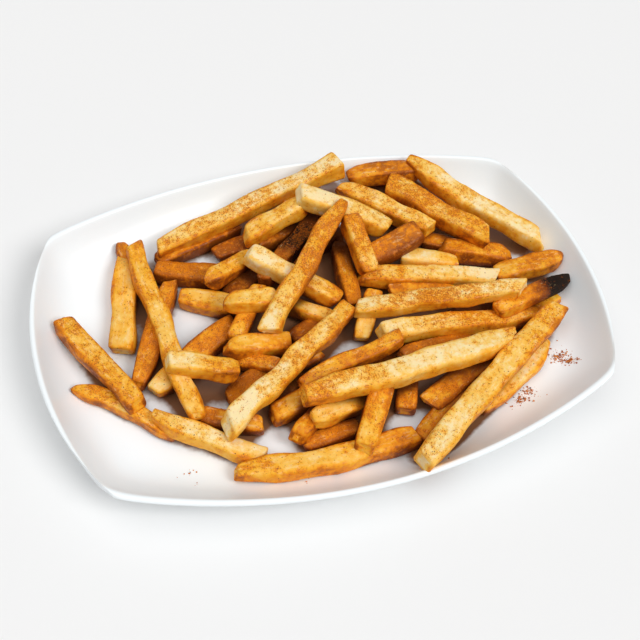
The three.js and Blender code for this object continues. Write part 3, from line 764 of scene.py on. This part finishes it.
def close_ends(along, s, u):
    """Adds rings that close in on the middle of each end face, and gives the middles as well."""
    before = [(along[0] + CAP_CROWN * k, s[0] * r, u[0] * r) for k, r in enumerate(CAP_SHARES, 1)][::-1]
    after = [(along[-1] - CAP_CROWN * k, s[-1] * r, u[-1] * r) for k, r in enumerate(CAP_SHARES, 1)]
    rings = [np.stack(ring, axis=-1) for ring in (*before, *zip(along, s, u), *after)]
    return np.array(rings), np.array([rings[0].mean(axis=0), rings[-1].mean(axis=0)])


def fry_mesh(fry, relief):
    """The vertices, faces and per-vertex facts of one fry."""
    shape = Shape(fry, relief)
    start = np.array([fry.x0, fry.y0, fry.z0])
    axis = np.array([fry.x1, fry.y1, fry.z1]) - start
    length = np.linalg.norm(axis)
    side = np.array([-fry.uy, fry.ux, 0])
    up = np.cross(axis / length, side)
    distances = stations_along(length)
    s, u = fry_rings(fry, shape, distances, length)
    rings, tips = close_ends(cut_ends(fry, shape, distances, length, s, u), s, u)
    local = np.concatenate([rings.reshape(-1, 3), tips])
    is_cap = np.zeros(len(local))
    cap = len(CAP_SHARES) * RING_POINTS
    is_cap[:cap] = 1
    is_cap[-cap - len(tips):] = 1
    # Relief, outwards from the axis: broad lumps, small blisters and fine pitting.
    outward = local * (0, 1, 1)
    reach = np.linalg.norm(outward, axis=1)
    outward /= np.maximum(reach, AXIS_RADIUS)[:, None]
    seeded = local + shape.offset
    lumps = smooth_noise(seeded * LUMP_STRETCH, LUMP_SIZE, 1)
    blisters = smooth_noise(seeded, BLISTER_SIZE, 2)
    pits = smooth_noise(seeded * PIT_STRETCH, PIT_SIZE, 3)
    peaks = np.clip(blisters - PEAK_START, 0, 1)
    height = LUMP_HEIGHT * lumps + BLISTER_HEIGHT * blisters + PEAK_HEIGHT * peaks + PIT_HEIGHT * pits
    shaped = local + outward * (relief * height * np.clip(reach / RELIEF_FADE, 0, 1))[:, None]
    # Into the platter's frame.
    sideways = shaped[:, 1] + bow_at(fry.bow, np.clip(shaped[:, 0] / length, 0, 1))
    world = start + np.outer(shaped[:, 0], axis / length)
    world = world + np.outer(sideways, side) + np.outer(shaped[:, 2], up)
    count = len(rings)
    faces = ring_faces(0, count, RING_POINTS)
    faces += fan_faces(0, RING_POINTS, len(world) - 2, True)
    faces += fan_faces((count - 1) * RING_POINTS, RING_POINTS, len(world) - 1, False)
    return world, faces, fry_facts(fry, shape, local, length, lumps, is_cap)


def fry_facts(fry, shape, local, length, lumps, is_cap):
    """Browning with painted shade on the sides and painted light on the top, spice and the place within the
    uncut potato, for each vertex.
    """
    share = np.clip(local[:, 0] / length, 0, 1)
    full = fullness(share, fry.taper0, fry.taper1)
    across = np.abs(local[:, 1]) / (fry.width / 2 * full)
    height = np.abs(local[:, 2]) / (fry.thick / 2 * full)
    edge = np.clip((np.minimum(across, height) - EDGE_START) / EDGE_SPAN, 0, 1)
    side = np.clip((across - height) * FACE_CONTRAST, 0, 1)
    # Painted shade darkens the sides and painted light pales the top.
    painted_side_shade = np.where(local[:, 1] > 0, shape.painted_side_shade[0], shape.painted_side_shade[1])
    top = np.clip((height - across) * FACE_CONTRAST, 0, 1) * (local[:, 2] > 0)
    end_distance = np.minimum(local[:, 0], length - local[:, 0])
    tip = np.exp(-np.clip(end_distance, 0, None) / TIP_REACH) * (1 - is_cap)
    under = np.clip(-local[:, 2] / (fry.thick / 2), 0, 1)
    browning = blend_stations(np.minimum(fry.browning, BURN_START), share)
    browning = browning + EDGE_BROWNING * edge + TIP_BROWNING * tip + UNDERSIDE_DARKENING * under
    browning = browning + LUMP_BROWNING * lumps - CAP_PALENESS * is_cap
    browning = np.minimum(browning + painted_side_shade * side + shape.painted_top_light * top, BROWNEST)
    for burn, distance in ((fry.browning[0], local[:, 0]), (fry.browning[2], length - local[:, 0])):
        if burn > BURN_START:
            charred = burn + LUMP_BROWNING * lumps - np.clip(distance, 0, None) / BURN_FADE
            browning = np.maximum(browning, charred)
    return {
        "browning": browning,
        "spice": blend_stations(fry.spice, share),
        "grain": local + shape.offset,
    }


def heap_mesh(fries, relief):
    """All fries as one mesh, with their facts strung together."""
    vertices, faces, facts = [], [], {"browning": [], "spice": [], "grain": []}
    first = 0
    for fry in fries:
        world, fry_faces, fry_values = fry_mesh(fry, relief)
        floor = glaze_height(world[:, 0], world[:, 1]) + ABOVE_GLAZE
        world[:, 2] = np.maximum(world[:, 2], floor)
        vertices.append(world)
        faces += [[first + i for i in face] for face in fry_faces]
        for name, values in fry_values.items():
            facts[name].append(values)
        first += len(world)
    return np.concatenate(vertices), faces, {name: np.concatenate(values) for name, values in facts.items()}


# ---------------------------------------------------------------- the spice

GRAIN_CORNERS = np.array([(1, 0, 0), (-1, 0, 0), (0, 1, 0), (0, -1, 0), (0, 0, 0.7), (0, 0, -0.7)])
GRAIN_FACES = np.array([
    (0, 2, 4), (2, 1, 4), (1, 3, 4), (3, 0, 4),
    (2, 0, 5), (1, 2, 5), (3, 1, 5), (0, 3, 5),
])


def grain_mesh(places, sizes, draw):
    """Small sharp flakes, each turned and stretched its own way, a little sunk into what they lie on."""
    vertices, faces, tones = [], [], []
    for number, (place, size) in enumerate(zip(places, sizes)):
        stretch = draw.uniform(*GRAIN_STRETCH, 3) * size / 2
        angle = draw.uniform(0, 2 * math.pi)
        tilt = draw.uniform(-GRAIN_TILT, GRAIN_TILT)
        turn = np.array(Matrix.Rotation(angle, 3, "Z") @ Matrix.Rotation(tilt, 3, "X"))
        corners = (GRAIN_CORNERS * stretch * draw.uniform(*GRAIN_CHIPPING, (len(GRAIN_CORNERS), 1))) @ turn.T
        vertices.append(corners + place + (0, 0, size * GRAIN_LIFT))
        faces.append(GRAIN_FACES + len(GRAIN_CORNERS) * number)
        tones.append(np.full(len(GRAIN_CORNERS), draw.uniform(0, 1)))
    return np.concatenate(vertices), np.concatenate(faces).tolist(), np.concatenate(tones)


def crumb_places(draw):
    """Where the spilt grains lie on the glaze."""
    places = []
    for x, y, half_x, half_y, count in CRUMB_PATCHES:
        spots = draw.normal(0, 0.5, (count, 2)) * (half_x, half_y) + (x, y)
        places.append(spots)
    spots = np.concatenate(places)
    return np.column_stack([spots, glaze_height(spots[:, 0], spots[:, 1])])


def fry_grain_places(heap, count, draw):
    """Spots on the fries that can be seen from above, the more likely the more spice lies there."""
    mesh = heap.data
    tree = BVHTree.FromObject(heap, bpy.context.evaluated_depsgraph_get())
    spice = np.zeros(len(mesh.vertices), np.float32)
    mesh.attributes["spice"].data.foreach_get("value", spice)
    low, high = np.array(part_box("fries")) / MM
    places = []
    for _ in range(count * GRAIN_TRIES):
        x, y = draw.uniform(low[:2], high[:2])
        above = Vector((x * MM, y * MM, high[2] * MM * 2))
        hit, normal, index, _ = tree.ray_cast(above, Vector((0, 0, -1)))
        if hit is None or normal.z < GRAIN_SLOPE:
            continue
        if draw.uniform(0, 1) > spice[mesh.polygons[index].vertices[0]] ** SPICE_CONTRAST:
            continue
        places.append(np.array(hit) / MM)
        if len(places) == count:
            break
    return np.array(places)


# ================================================================ materials

# The glaze. Its noises are scaled to the metre, as the platter's own coordinates are.
RIPPLE_SCALE = 38
SPECK_SCALE = 900
SPECK_LEVELS = (0.72, 0.8)
SPECK_SHARE = 0.05
SPECK_COLOUR = (0.5, 0.47, 0.42)
# Painted shade on the glaze where the heap lies deep over it, with a frayed edge, in a dark brown.
SHADE_FRAY_SCALE = 260
SHADE_FRAY_DEPTH = 3  # how far the edge of the painted shade runs up and down
GLAZE_SHADE_DEPTHS = (4.8, 9)
GLAZE_SHADE_SHARE = 0.97
GLAZE_ROUGHNESS = (0.26, 0.36)
GLAZE_BUMP = (0.12, 0.6)

# The noises over a fry: scale to the millimetre, detail and roughness.
POTATO_NOISES = {
    "broad": (0.13, 2, 0.5),
    "blotch": (0.42, 4, 0.6),
    "streak": (0.62, 3, 0.6),
    "fine": (1.9, 3, 0.65),
    "grit": (1.5, 2, 0.75),
}
FIBRE_STRETCH = (0.3, 1, 1)
# How far they move the browning, where the spice drifts together, the roughness and the height of the bump.
BROWNING_NOISES = {"broad": 0.7, "blotch": 0.6, "fine": 0.14}
DRIFT_NOISES = {"blotch": 1.5, "broad": 0.9, "grit": 0.6}
ROUGHNESS_NOISES = {"blotch": 0.3}
BUMP_NOISES = {"blotch": 0.5, "fine": 0.55, "streak": 0.4}

# The crust, with painted shade on its sides and deep in the heap, and pale streaks on its tops that are
# partly painted highlight.
FACING_UP = (-0.1, 0.85)
SIDE_SHADE = 0.06
SHADE_DEPTHS = (1, 8)
DEEP_SHADE = 0.22
CHAR_LEVELS = (0.94, 1.04)
FLESH_PALENESS = 0.16  # how much sooner flesh shows through where the crust is pale
# Pale streaks on upward faces only: partly real flesh, partly painted highlight.
FLESH_AND_HIGHLIGHT_LEVELS = (0.62, 0.78)
FLESH_AND_HIGHLIGHT_SHARE = 0.34
# Painted shade deep in the heap, in a near-black brown.
HEAP_SHADE_DEPTHS = (2.5, 9)
HEAP_SHADE_SHARE = 0.88
OIL_FRAYING = 0.5
OIL_LEVELS = (0.45, 0.62)
OIL_SHARE = 0.32
POTATO_ROUGHNESS = 0.5
CHAR_ROUGHNESS = 0.2
POTATO_BUMP = (0.6, 0.32)

# The spice on it.
SPICE_ON_SIDES = 0.3
SPICE_DRIFT = 0.75
DUST_LEVELS = (0.3, 0.75)
DUST_SHARE = 0.72
DUST_BURNT = 0.85  # share of the dust that char swallows
SPECKLE_DRIFT = 0.3
SPECKLE_LEVELS = (0.68, 0.76)
SPECKLE_DRIFTS = (0.1, 0.5)
SPECKLE_SHARE = 0.7
SPECKLE_ROUGHNESS = 0.15
SPECKLE_BUMP = 0.4
PEPPER_SCALE = 0.3
PEPPER_FRAYING = 0.14
PEPPER_RADII = (0.06, 0.11)
PEPPER_SHARE = 0.85

# The loose grains and the table.
GRAIN_PITTING = 4000
GRAIN_ROUGHNESS = (0.5, 0.8)
GRAIN_BUMP = (0.4, 0.1)
TABLE_MOTTLE = 3
TABLE_SHADE = 0.985


class Wire:
    """A value from a shader node. Arithmetic on it adds Math nodes."""

    def __init__(self, finish, socket):
        self.finish = finish
        self.socket = socket

    def _math(self, operation, first, second):
        return self.finish.node("ShaderNodeMath", {"operation": operation}, {0: first, 1: second})

    def __add__(self, other):
        return self._math("ADD", self, other)

    def __radd__(self, other):
        return self._math("ADD", other, self)

    def __sub__(self, other):
        return self._math("SUBTRACT", self, other)

    def __rsub__(self, other):
        return self._math("SUBTRACT", other, self)

    def __mul__(self, other):
        return self._math("MULTIPLY", self, other)

    def __rmul__(self, other):
        return self._math("MULTIPLY", other, self)


class Finish:
    """A material and the nodes that make it."""

    def __init__(self, name):
        self.material = bpy.data.materials.new(name)
        self.material.use_nodes = True
        self.tree = self.material.node_tree
        self.tree.nodes.clear()

    def node(self, kind, settings=None, sockets=None, output=0):
        """Adds a node, sets it up, feeds its sockets and gives back one of its outputs."""
        node = self.tree.nodes.new(kind)
        for key, value in (settings or {}).items():
            if key == "stops":
                self._set_stops(node.color_ramp, value)
            else:
                setattr(node, key, value)
        for key, value in (sockets or {}).items():
            self._feed(node.inputs[key], value)
        return Wire(self, node.outputs[output]) if node.outputs else None

    def _feed(self, socket, value):
        if isinstance(value, Wire):
            self.tree.links.new(value.socket, socket)
        else:
            socket.default_value = value

    def _set_stops(self, ramp, stops):
        while len(ramp.elements) < len(stops):
            ramp.elements.new(1)
        for element, (position, colour) in zip(ramp.elements, stops):
            element.position = position
            element.color = (*colour, 1)

    def attribute(self, name, output=2):
        return self.node("ShaderNodeAttribute", {"attribute_name": name}, output=output)

    def noise(self, vector, scale, detail=1, roughness=0.5):
        sockets = {"Vector": vector, "Scale": scale, "Detail": detail, "Roughness": roughness}
        return self.node("ShaderNodeTexNoise", None, sockets)

    def least(self, first, second):
        return self.node("ShaderNodeMath", {"operation": "MINIMUM"}, {0: first, 1: second})

    def most(self, first, second):
        return self.node("ShaderNodeMath", {"operation": "MAXIMUM"}, {0: first, 1: second})

    def smooth(self, value, low, high):
        """Eases from 0 where the value is low to 1 where it is high."""
        sockets = {"Value": value, "From Min": low, "From Max": high}
        return self.node("ShaderNodeMapRange", {"interpolation_type": "SMOOTHSTEP"}, sockets)

    def between(self, value, low, high):
        """Runs from low where the value is 0 to high where it is 1."""
        return self.node("ShaderNodeMapRange", None, {"Value": value, "To Min": low, "To Max": high})

    def add_noises(self, value, noises, reaches):
        """Moves a value up and down by noises, each by up to half its reach."""
        for name, reach in reaches.items():
            value = value + (noises[name] - 0.5) * reach
        return value

    def mix(self, factor, first, second):
        sockets = {0: factor, 6: first, 7: second}
        return self.node("ShaderNodeMix", {"data_type": "RGBA"}, sockets, output=2)

    def ramp(self, value, stops):
        return self.node("ShaderNodeValToRGB", {"stops": stops}, {"Fac": value})

    def bump(self, height, strength, distance):
        sockets = {"Height": height, "Strength": strength, "Distance": distance * MM}
        return self.node("ShaderNodeBump", None, sockets)

    def surface(self, sockets):
        """Closes the material with a Principled shader."""
        shader = self.node("ShaderNodeBsdfPrincipled", None, sockets)
        self.node("ShaderNodeOutputMaterial", None, {"Surface": shader})
        return self.material


def rgba(colour):
    return (*colour, 1)


def glaze_material(look):
    """White glaze with a faint ripple, and painted shade where the heap lies deep over it."""
    finish = Finish("porcelain_glaze")
    place = finish.node("ShaderNodeTexCoord", output=3)
    ripple = finish.noise(place, RIPPLE_SCALE)
    speck = finish.smooth(finish.noise(place, SPECK_SCALE), *SPECK_LEVELS)
    shade_fray = finish.noise(place, SHADE_FRAY_SCALE, detail=2)
    # Painted shade on the glaze, deeper in the heap.
    glaze_shade = finish.smooth(finish.attribute("depth") + (shade_fray - 0.5) * SHADE_FRAY_DEPTH, *GLAZE_SHADE_DEPTHS)
    glaze = finish.mix(speck * SPECK_SHARE, rgba(look.glaze_colour), rgba(SPECK_COLOUR))
    return finish.surface({
        "Base Color": finish.mix(glaze_shade * GLAZE_SHADE_SHARE, glaze, rgba(look.glaze_shade_colour)),
        "Roughness": finish.between(ripple, *GLAZE_ROUGHNESS),
        "Normal": finish.bump(ripple, *GLAZE_BUMP),
        "IOR": 1.5,
        "Coat Weight": 0.12,
        "Coat Roughness": 0.08,
    })


def potato_material(look):
    """Fried crust by its browning, with painted shade on the sides and deep in the heap, pale streaks on the
    tops that are partly painted highlight, and oil, dust, paprika and pepper over it.
    """
    finish = Finish("fried_potato")
    grain = finish.attribute("grain", output=1)
    browning = finish.attribute("browning")
    depth = finish.attribute("depth")
    normal = finish.node("ShaderNodeNewGeometry", output=1)
    up = finish.node("ShaderNodeSeparateXYZ", None, {"Vector": normal}, output=2)
    facing_up = finish.smooth(up, *FACING_UP)
    noises = potato_noises(finish, grain)
    cooked = finish.add_noises(browning, noises, BROWNING_NOISES)
    # Painted shade: darker on faces turned away from above and where the heap lies deep.
    cooked = cooked + (1 - facing_up) * SIDE_SHADE + finish.smooth(depth, *SHADE_DEPTHS) * DEEP_SHADE
    cooked = finish.least(cooked, finish.most(browning, BROWNEST))
    char = finish.smooth(cooked, *CHAR_LEVELS)
    # Pale streaks on upward faces only, partly real flesh and partly painted highlight.
    flesh = finish.smooth(noises["streak"] + (1 - cooked) * FLESH_PALENESS, *FLESH_AND_HIGHLIGHT_LEVELS) * facing_up
    settled = finish.attribute("spice") * (SPICE_ON_SIDES + facing_up * (1 - SPICE_ON_SIDES))
    drift = finish.add_noises(settled * SPICE_DRIFT, noises, DRIFT_NOISES)
    dust = finish.smooth(drift, *DUST_LEVELS) * (1 - char * DUST_BURNT)
    speckle = finish.smooth(noises["grit"] + drift * SPECKLE_DRIFT, *SPECKLE_LEVELS)
    speckle = speckle * finish.smooth(drift, *SPECKLE_DRIFTS)
    pepper = pepper_dots(finish, grain, noises["fine"])
    colour = crust_colour(finish, look, cooked)
    for share, layer in (
        (flesh * FLESH_AND_HIGHLIGHT_SHARE, look.pale_colour),
        (dust * DUST_SHARE, look.dust_colour),
        (speckle * SPECKLE_SHARE, look.paprika_colour),
        (pepper * PEPPER_SHARE, look.pepper_colour),
        # Painted shade deep in the heap.
        (finish.smooth(depth, *HEAP_SHADE_DEPTHS) * HEAP_SHADE_SHARE, look.deep_shade_colour),
    ):
        colour = finish.mix(share, colour, rgba(layer))
    oily = finish.smooth(noises["blotch"] + (noises["fine"] - 0.5) * OIL_FRAYING, *OIL_LEVELS)
    rough = POTATO_ROUGHNESS + speckle * SPECKLE_ROUGHNESS + char * CHAR_ROUGHNESS
    height = finish.add_noises(speckle * SPECKLE_BUMP, noises, BUMP_NOISES)
    return finish.surface({
        "Base Color": colour,
        "Roughness": finish.add_noises(rough, noises, ROUGHNESS_NOISES),
        "Normal": finish.bump(height, *POTATO_BUMP),
        "Coat Weight": oily * (1 - char) * OIL_SHARE,
        "Coat Roughness": 0.3,
        "IOR": 1.45,
        "Specular IOR Level": 0.16,
        "Subsurface Weight": 0.16,
        "Subsurface Radius": (1.0, 0.42, 0.12),
        "Subsurface Scale": 1.8 * MM,
    })


def potato_noises(finish, grain):
    """The noises that a fry's looks are made of. The streaks run along its fibres."""
    fibre = finish.node("ShaderNodeVectorMath", {"operation": "MULTIPLY"}, {0: grain, 1: FIBRE_STRETCH})
    places = {"streak": fibre}
    return {name: finish.noise(places.get(name, grain), *kind) for name, kind in POTATO_NOISES.items()}


def crust_colour(finish, look, cooked):
    return finish.ramp(cooked, (
        (0.0, look.pale_colour),
        (0.18, look.cream_colour),
        (0.42, look.golden_colour),
        (0.63, look.orange_colour),
        (0.8, look.brown_colour),
        (0.93, look.dark_colour),
        (1.0, look.burnt_colour),
    ))


def pepper_dots(finish, grain, fine):
    """Scattered dots with frayed edges."""
    sockets = {"Vector": grain, "Scale": PEPPER_SCALE, "Randomness": 1}
    distance = finish.node("ShaderNodeTexVoronoi", {"feature": "F1"}, sockets)
    return 1 - finish.smooth(distance + (fine - 0.5) * PEPPER_FRAYING, *PEPPER_RADII)


def spice_material(look):
    finish = Finish("paprika_grains")
    colour = finish.ramp(finish.attribute("tone"), (
        (0.0, look.pepper_colour),
        (0.12, look.paprika_colour),
        (0.55, look.crumb_colour),
        (1.0, look.dust_colour),
    ))
    pitting = finish.noise(finish.node("ShaderNodeTexCoord", output=3), GRAIN_PITTING)
    return finish.surface({
        "Base Color": colour,
        "Roughness": finish.between(pitting, *GRAIN_ROUGHNESS),
        "Normal": finish.bump(pitting, *GRAIN_BUMP),
    })


def stage_material(look):
    finish = Finish("pale_table")
    mottle = finish.noise(finish.node("ShaderNodeTexCoord", output=3), TABLE_MOTTLE, detail=2)
    darker = tuple(channel * TABLE_SHADE for channel in look.table_colour)
    return finish.surface({
        "Base Color": finish.mix(mottle, rgba(look.table_colour), rgba(darker)),
        "Roughness": 0.6,
    })


# ================================================================ settings


def colour_property(name, description, default):
    return bpy.props.FloatVectorProperty(
        name=name, description=description, default=default, subtype="COLOR", size=3, min=0, max=1
    )


def angle_property(name, description, degrees):
    return bpy.props.FloatProperty(
        name=name, description=description, default=math.radians(degrees), subtype="ANGLE"
    )


class FRIES_PG_platter(bpy.types.PropertyGroup):
    glaze_colour: colour_property("Glaze", "Colour of the white glaze", (0.92, 0.966, 0.985))
    # Painted shade on the glaze under the heap.
    glaze_shade_colour: colour_property("Film", "Oil and paprika on the glaze under the heap", (0.23, 0.088, 0.024))


class FRIES_PG_potato(bpy.types.PropertyGroup):
    relief: bpy.props.FloatProperty(
        name="Relief",
        description="How strongly lumps, dents and blisters show",
        default=1,
        min=0,
        max=2,
        subtype="FACTOR",
    )
    pale_colour: colour_property("Pale", "Barely cooked flesh", (0.93, 0.74, 0.4))
    cream_colour: colour_property("Cream", "Lightly fried flesh", (0.93, 0.57, 0.125))
    golden_colour: colour_property("Golden", "Fried golden", (0.9, 0.42, 0.025))
    orange_colour: colour_property("Orange", "Well fried", (0.76, 0.235, 0.006))
    brown_colour: colour_property("Brown", "Browned crust", (0.36, 0.085, 0.005))
    dark_colour: colour_property("Dark brown", "Dark crust", (0.115, 0.024, 0.004))
    # Painted shade on the crust deep in the heap.
    deep_shade_colour: colour_property("Soaked", "Oil-soaked crust deep in the heap", (0.1, 0.023, 0.003))
    burnt_colour: colour_property("Burnt", "Charred tips", (0.014, 0.007, 0.004))
    dust_colour: colour_property("Dust", "Fine paprika over the crust", (0.85, 0.27, 0.006))
    paprika_colour: colour_property("Paprika", "Paprika grains", (0.42, 0.1, 0.006))
    pepper_colour: colour_property("Pepper", "Dark specks", (0.13, 0.045, 0.008))


class FRIES_PG_spice(bpy.types.PropertyGroup):
    grains: bpy.props.IntProperty(
        name="Grains", description="Number of grains on the fries", default=2600, min=0, max=8000
    )
    crumb_colour: colour_property("Crumbs", "Spilt paprika", (0.58, 0.17, 0.03))
    dust_colour: colour_property("Dust", "Lightest grains", (0.75, 0.3, 0.06))
    paprika_colour: colour_property("Paprika", "Red-brown grains", (0.42, 0.1, 0.015))
    pepper_colour: colour_property("Pepper", "Darkest grains", (0.05, 0.02, 0.01))


class FRIES_PG_studio(bpy.types.PropertyGroup):
    table_colour: colour_property("Table", "Colour of the floor", (0.87, 0.87, 0.868))
    sky: bpy.props.FloatProperty(
        name="Fill", description="Strength of the light from all round", default=0.36, min=0, max=5
    )
    overhead: bpy.props.FloatProperty(
        name="Overhead", description="Strength of the broad lamp above", default=1.06, min=0, max=20
    )
    overhead_spread: angle_property("Overhead Spread", "How wide that lamp looks", 60)
    key: bpy.props.FloatProperty(
        name="Key", description="Strength of the lamp beside the table", default=1.5, min=0, max=20
    )
    key_spread: angle_property("Key Spread", "How wide the lamp looks from the table", 28)
    key_elevation: angle_property("Key Height", "Height of the lamp over the table", 50)
    key_azimuth: angle_property("Key Side", "Turn of the lamp to the right of the front", 36)


# ================================================================ operators


class FRIES_OT_platter(bpy.types.Operator):
    """Turn the platter's section round its outline and glaze it"""

    bl_idname = "fries.platter"
    bl_label = "Platter"

    def execute(self, context):
        vertices, faces = platter_mesh()
        piece = make_piece("platter", vertices, faces, glaze_material(context.scene.fries_platter))
        depth = Shelter(serve_fries()).depth(*vertices.T)
        # The depth in the heap drives the painted shade on the glaze.
        add_attribute(piece, "depth", "FLOAT", np.where(vertices[:, 2] >= FLOOR_HEIGHT, depth, 0))
        place_piece(piece, "porcelain", "plate")
        return {"FINISHED"}


class FRIES_OT_heap(bpy.types.Operator):
    """Cut the fries, let them settle on each other, cook them and paint their shade"""

    bl_idname = "fries.heap"
    bl_label = "Fries"

    def execute(self, context):
        look = context.scene.fries_potato
        vertices, faces, facts = heap_mesh(serve_fries(), look.relief)
        piece = make_piece("fry_heap", vertices, faces, potato_material(look))
        # The browning holds painted shade on the sides and painted light on the top as well.
        add_attribute(piece, "browning", "FLOAT", facts["browning"])
        add_attribute(piece, "spice", "FLOAT", facts["spice"])
        add_attribute(piece, "grain", "FLOAT_VECTOR", facts["grain"])
        # The depth in the heap drives the painted shade on the fries.
        add_attribute(piece, "depth", "FLOAT", Shelter(serve_fries()).depth(*vertices.T))
        place_piece(piece, "fried_potato", "fries")
        return {"FINISHED"}


class FRIES_OT_spice(bpy.types.Operator):
    """Sprinkle paprika and pepper on the fries and the glaze"""

    bl_idname = "fries.spice"
    bl_label = "Spice"

    def execute(self, context):
        look = context.scene.fries_spice
        draw = np.random.default_rng(GRAIN_SEED)
        crumbs = crumb_places(draw)
        on_fries = fry_grain_places(bpy.data.objects["fry_heap"], look.grains, draw)
        least, most = CRUMB_SIZES
        sizes = np.concatenate([
            least + (most - least) * draw.uniform(0, 1, len(crumbs)) ** 2,
            draw.uniform(*FRY_GRAIN_SIZES, len(on_fries)),
        ])
        vertices, faces, tones = grain_mesh(np.concatenate([crumbs, on_fries]), sizes, draw)
        piece = make_piece("spice_grains", vertices, faces, spice_material(look))
        add_attribute(piece, "tone", "FLOAT", tones)
        place_piece(piece, "fried_potato")
        return {"FINISHED"}


class FRIES_OT_studio(bpy.types.Operator):
    """Set the pale table, the soft light and the camera"""

    bl_idname = "fries.studio"
    bl_label = "Studio"

    def execute(self, context):
        look = context.scene.fries_studio
        make_table(look)
        make_lights(context.scene, look)
        make_camera(context.scene)
        return {"FINISHED"}


def make_table(look):
    corners = [(-STAGE_RADIUS, -STAGE_RADIUS, 0), (STAGE_RADIUS, -STAGE_RADIUS, 0)]
    corners += [(STAGE_RADIUS, STAGE_RADIUS, 0), (-STAGE_RADIUS, STAGE_RADIUS, 0)]
    table = make_piece("table", corners, [(0, 1, 2, 3)], stage_material(look))


def make_lights(scene, look):
    world = bpy.data.worlds.new("soft_room")
    world.use_nodes = True
    background = world.node_tree.nodes["Background"]
    background.inputs["Color"].default_value = (1, 1, 1, 1)
    background.inputs["Strength"].default_value = look.sky
    scene.world = world
    add_lamp(scene, "key_lamp", look.key, look.key_spread, look.key_elevation, look.key_azimuth)
    overhead = (OVERHEAD_ELEVATION, OVERHEAD_AZIMUTH)
    add_lamp(scene, "overhead_lamp", look.overhead, look.overhead_spread, *overhead)
    scene.view_settings.view_transform = "Standard"
    scene.view_settings.look = "None"


def add_lamp(scene, name, strength, spread, elevation, azimuth):
    lamp = bpy.data.lights.new(name, "SUN")
    lamp.angle = spread
    lamp.energy = strength
    holder = bpy.data.objects.new(name, lamp)
    holder.rotation_euler = (math.pi / 2 - elevation, 0, azimuth)
    scene.collection.objects.link(holder)


def make_camera(scene):
    azimuth, elevation, roll = (math.radians(a) for a in (CAMERA_AZIMUTH, CAMERA_ELEVATION, CAMERA_ROLL))
    back = Vector((
        math.sin(azimuth) * math.cos(elevation),
        -math.cos(azimuth) * math.cos(elevation),
        math.sin(elevation),
    ))
    level_right = Vector((0, 0, 1)).cross(back).normalized()
    level_up = back.cross(level_right)
    right = level_right * math.cos(roll) + level_up * math.sin(roll)
    up = level_up * math.cos(roll) - level_right * math.sin(roll)
    camera = bpy.data.cameras.new("camera")
    camera.sensor_width = SENSOR_WIDTH
    camera.lens = FOCAL_LENGTH
    camera.clip_end = CLIP_END
    holder = bpy.data.objects.new("camera", camera)
    turn = Matrix((right, up, back)).transposed().to_4x4()
    place = (Vector(CAMERA_TARGET) + back * CAMERA_DISTANCE) * MM
    holder.matrix_world = Matrix.Translation(place) @ turn
    scene.collection.objects.link(holder)
    scene.camera = holder


# ================================================================ panel and registration


class FRIES_PT_panel(bpy.types.Panel):
    bl_label = "French Fries Portion"
    bl_idname = "FRIES_PT_panel"
    bl_space_type = "VIEW_3D"
    bl_region_type = "UI"
    bl_category = "Fries"

    def draw(self, context):
        layout = self.layout
        for operator, group in STEPS:
            box = layout.box()
            box.operator(operator)
            settings = getattr(context.scene, group)
            for name in settings.__annotations__:
                box.prop(settings, name)


STEPS = (
    ("fries.platter", "fries_platter"),
    ("fries.heap", "fries_potato"),
    ("fries.spice", "fries_spice"),
    ("fries.studio", "fries_studio"),
)
GROUPS = {
    "fries_platter": FRIES_PG_platter,
    "fries_potato": FRIES_PG_potato,
    "fries_spice": FRIES_PG_spice,
    "fries_studio": FRIES_PG_studio,
}
OPERATORS = (FRIES_OT_platter, FRIES_OT_heap, FRIES_OT_spice, FRIES_OT_studio)


def register():
    for cls in (*GROUPS.values(), *OPERATORS, FRIES_PT_panel):
        bpy.utils.register_class(cls)
    for name, group in GROUPS.items():
        setattr(bpy.types.Scene, name, bpy.props.PointerProperty(type=group))


def unregister():
    for name in GROUPS:
        delattr(bpy.types.Scene, name)
    for cls in reversed((*GROUPS.values(), *OPERATORS, FRIES_PT_panel)):
        bpy.utils.unregister_class(cls)


def main():
    register()
    bpy.ops.fries.platter()
    bpy.ops.fries.heap()
    bpy.ops.fries.spice()
    bpy.ops.fries.studio()


if __name__ == "__main__":
    main()
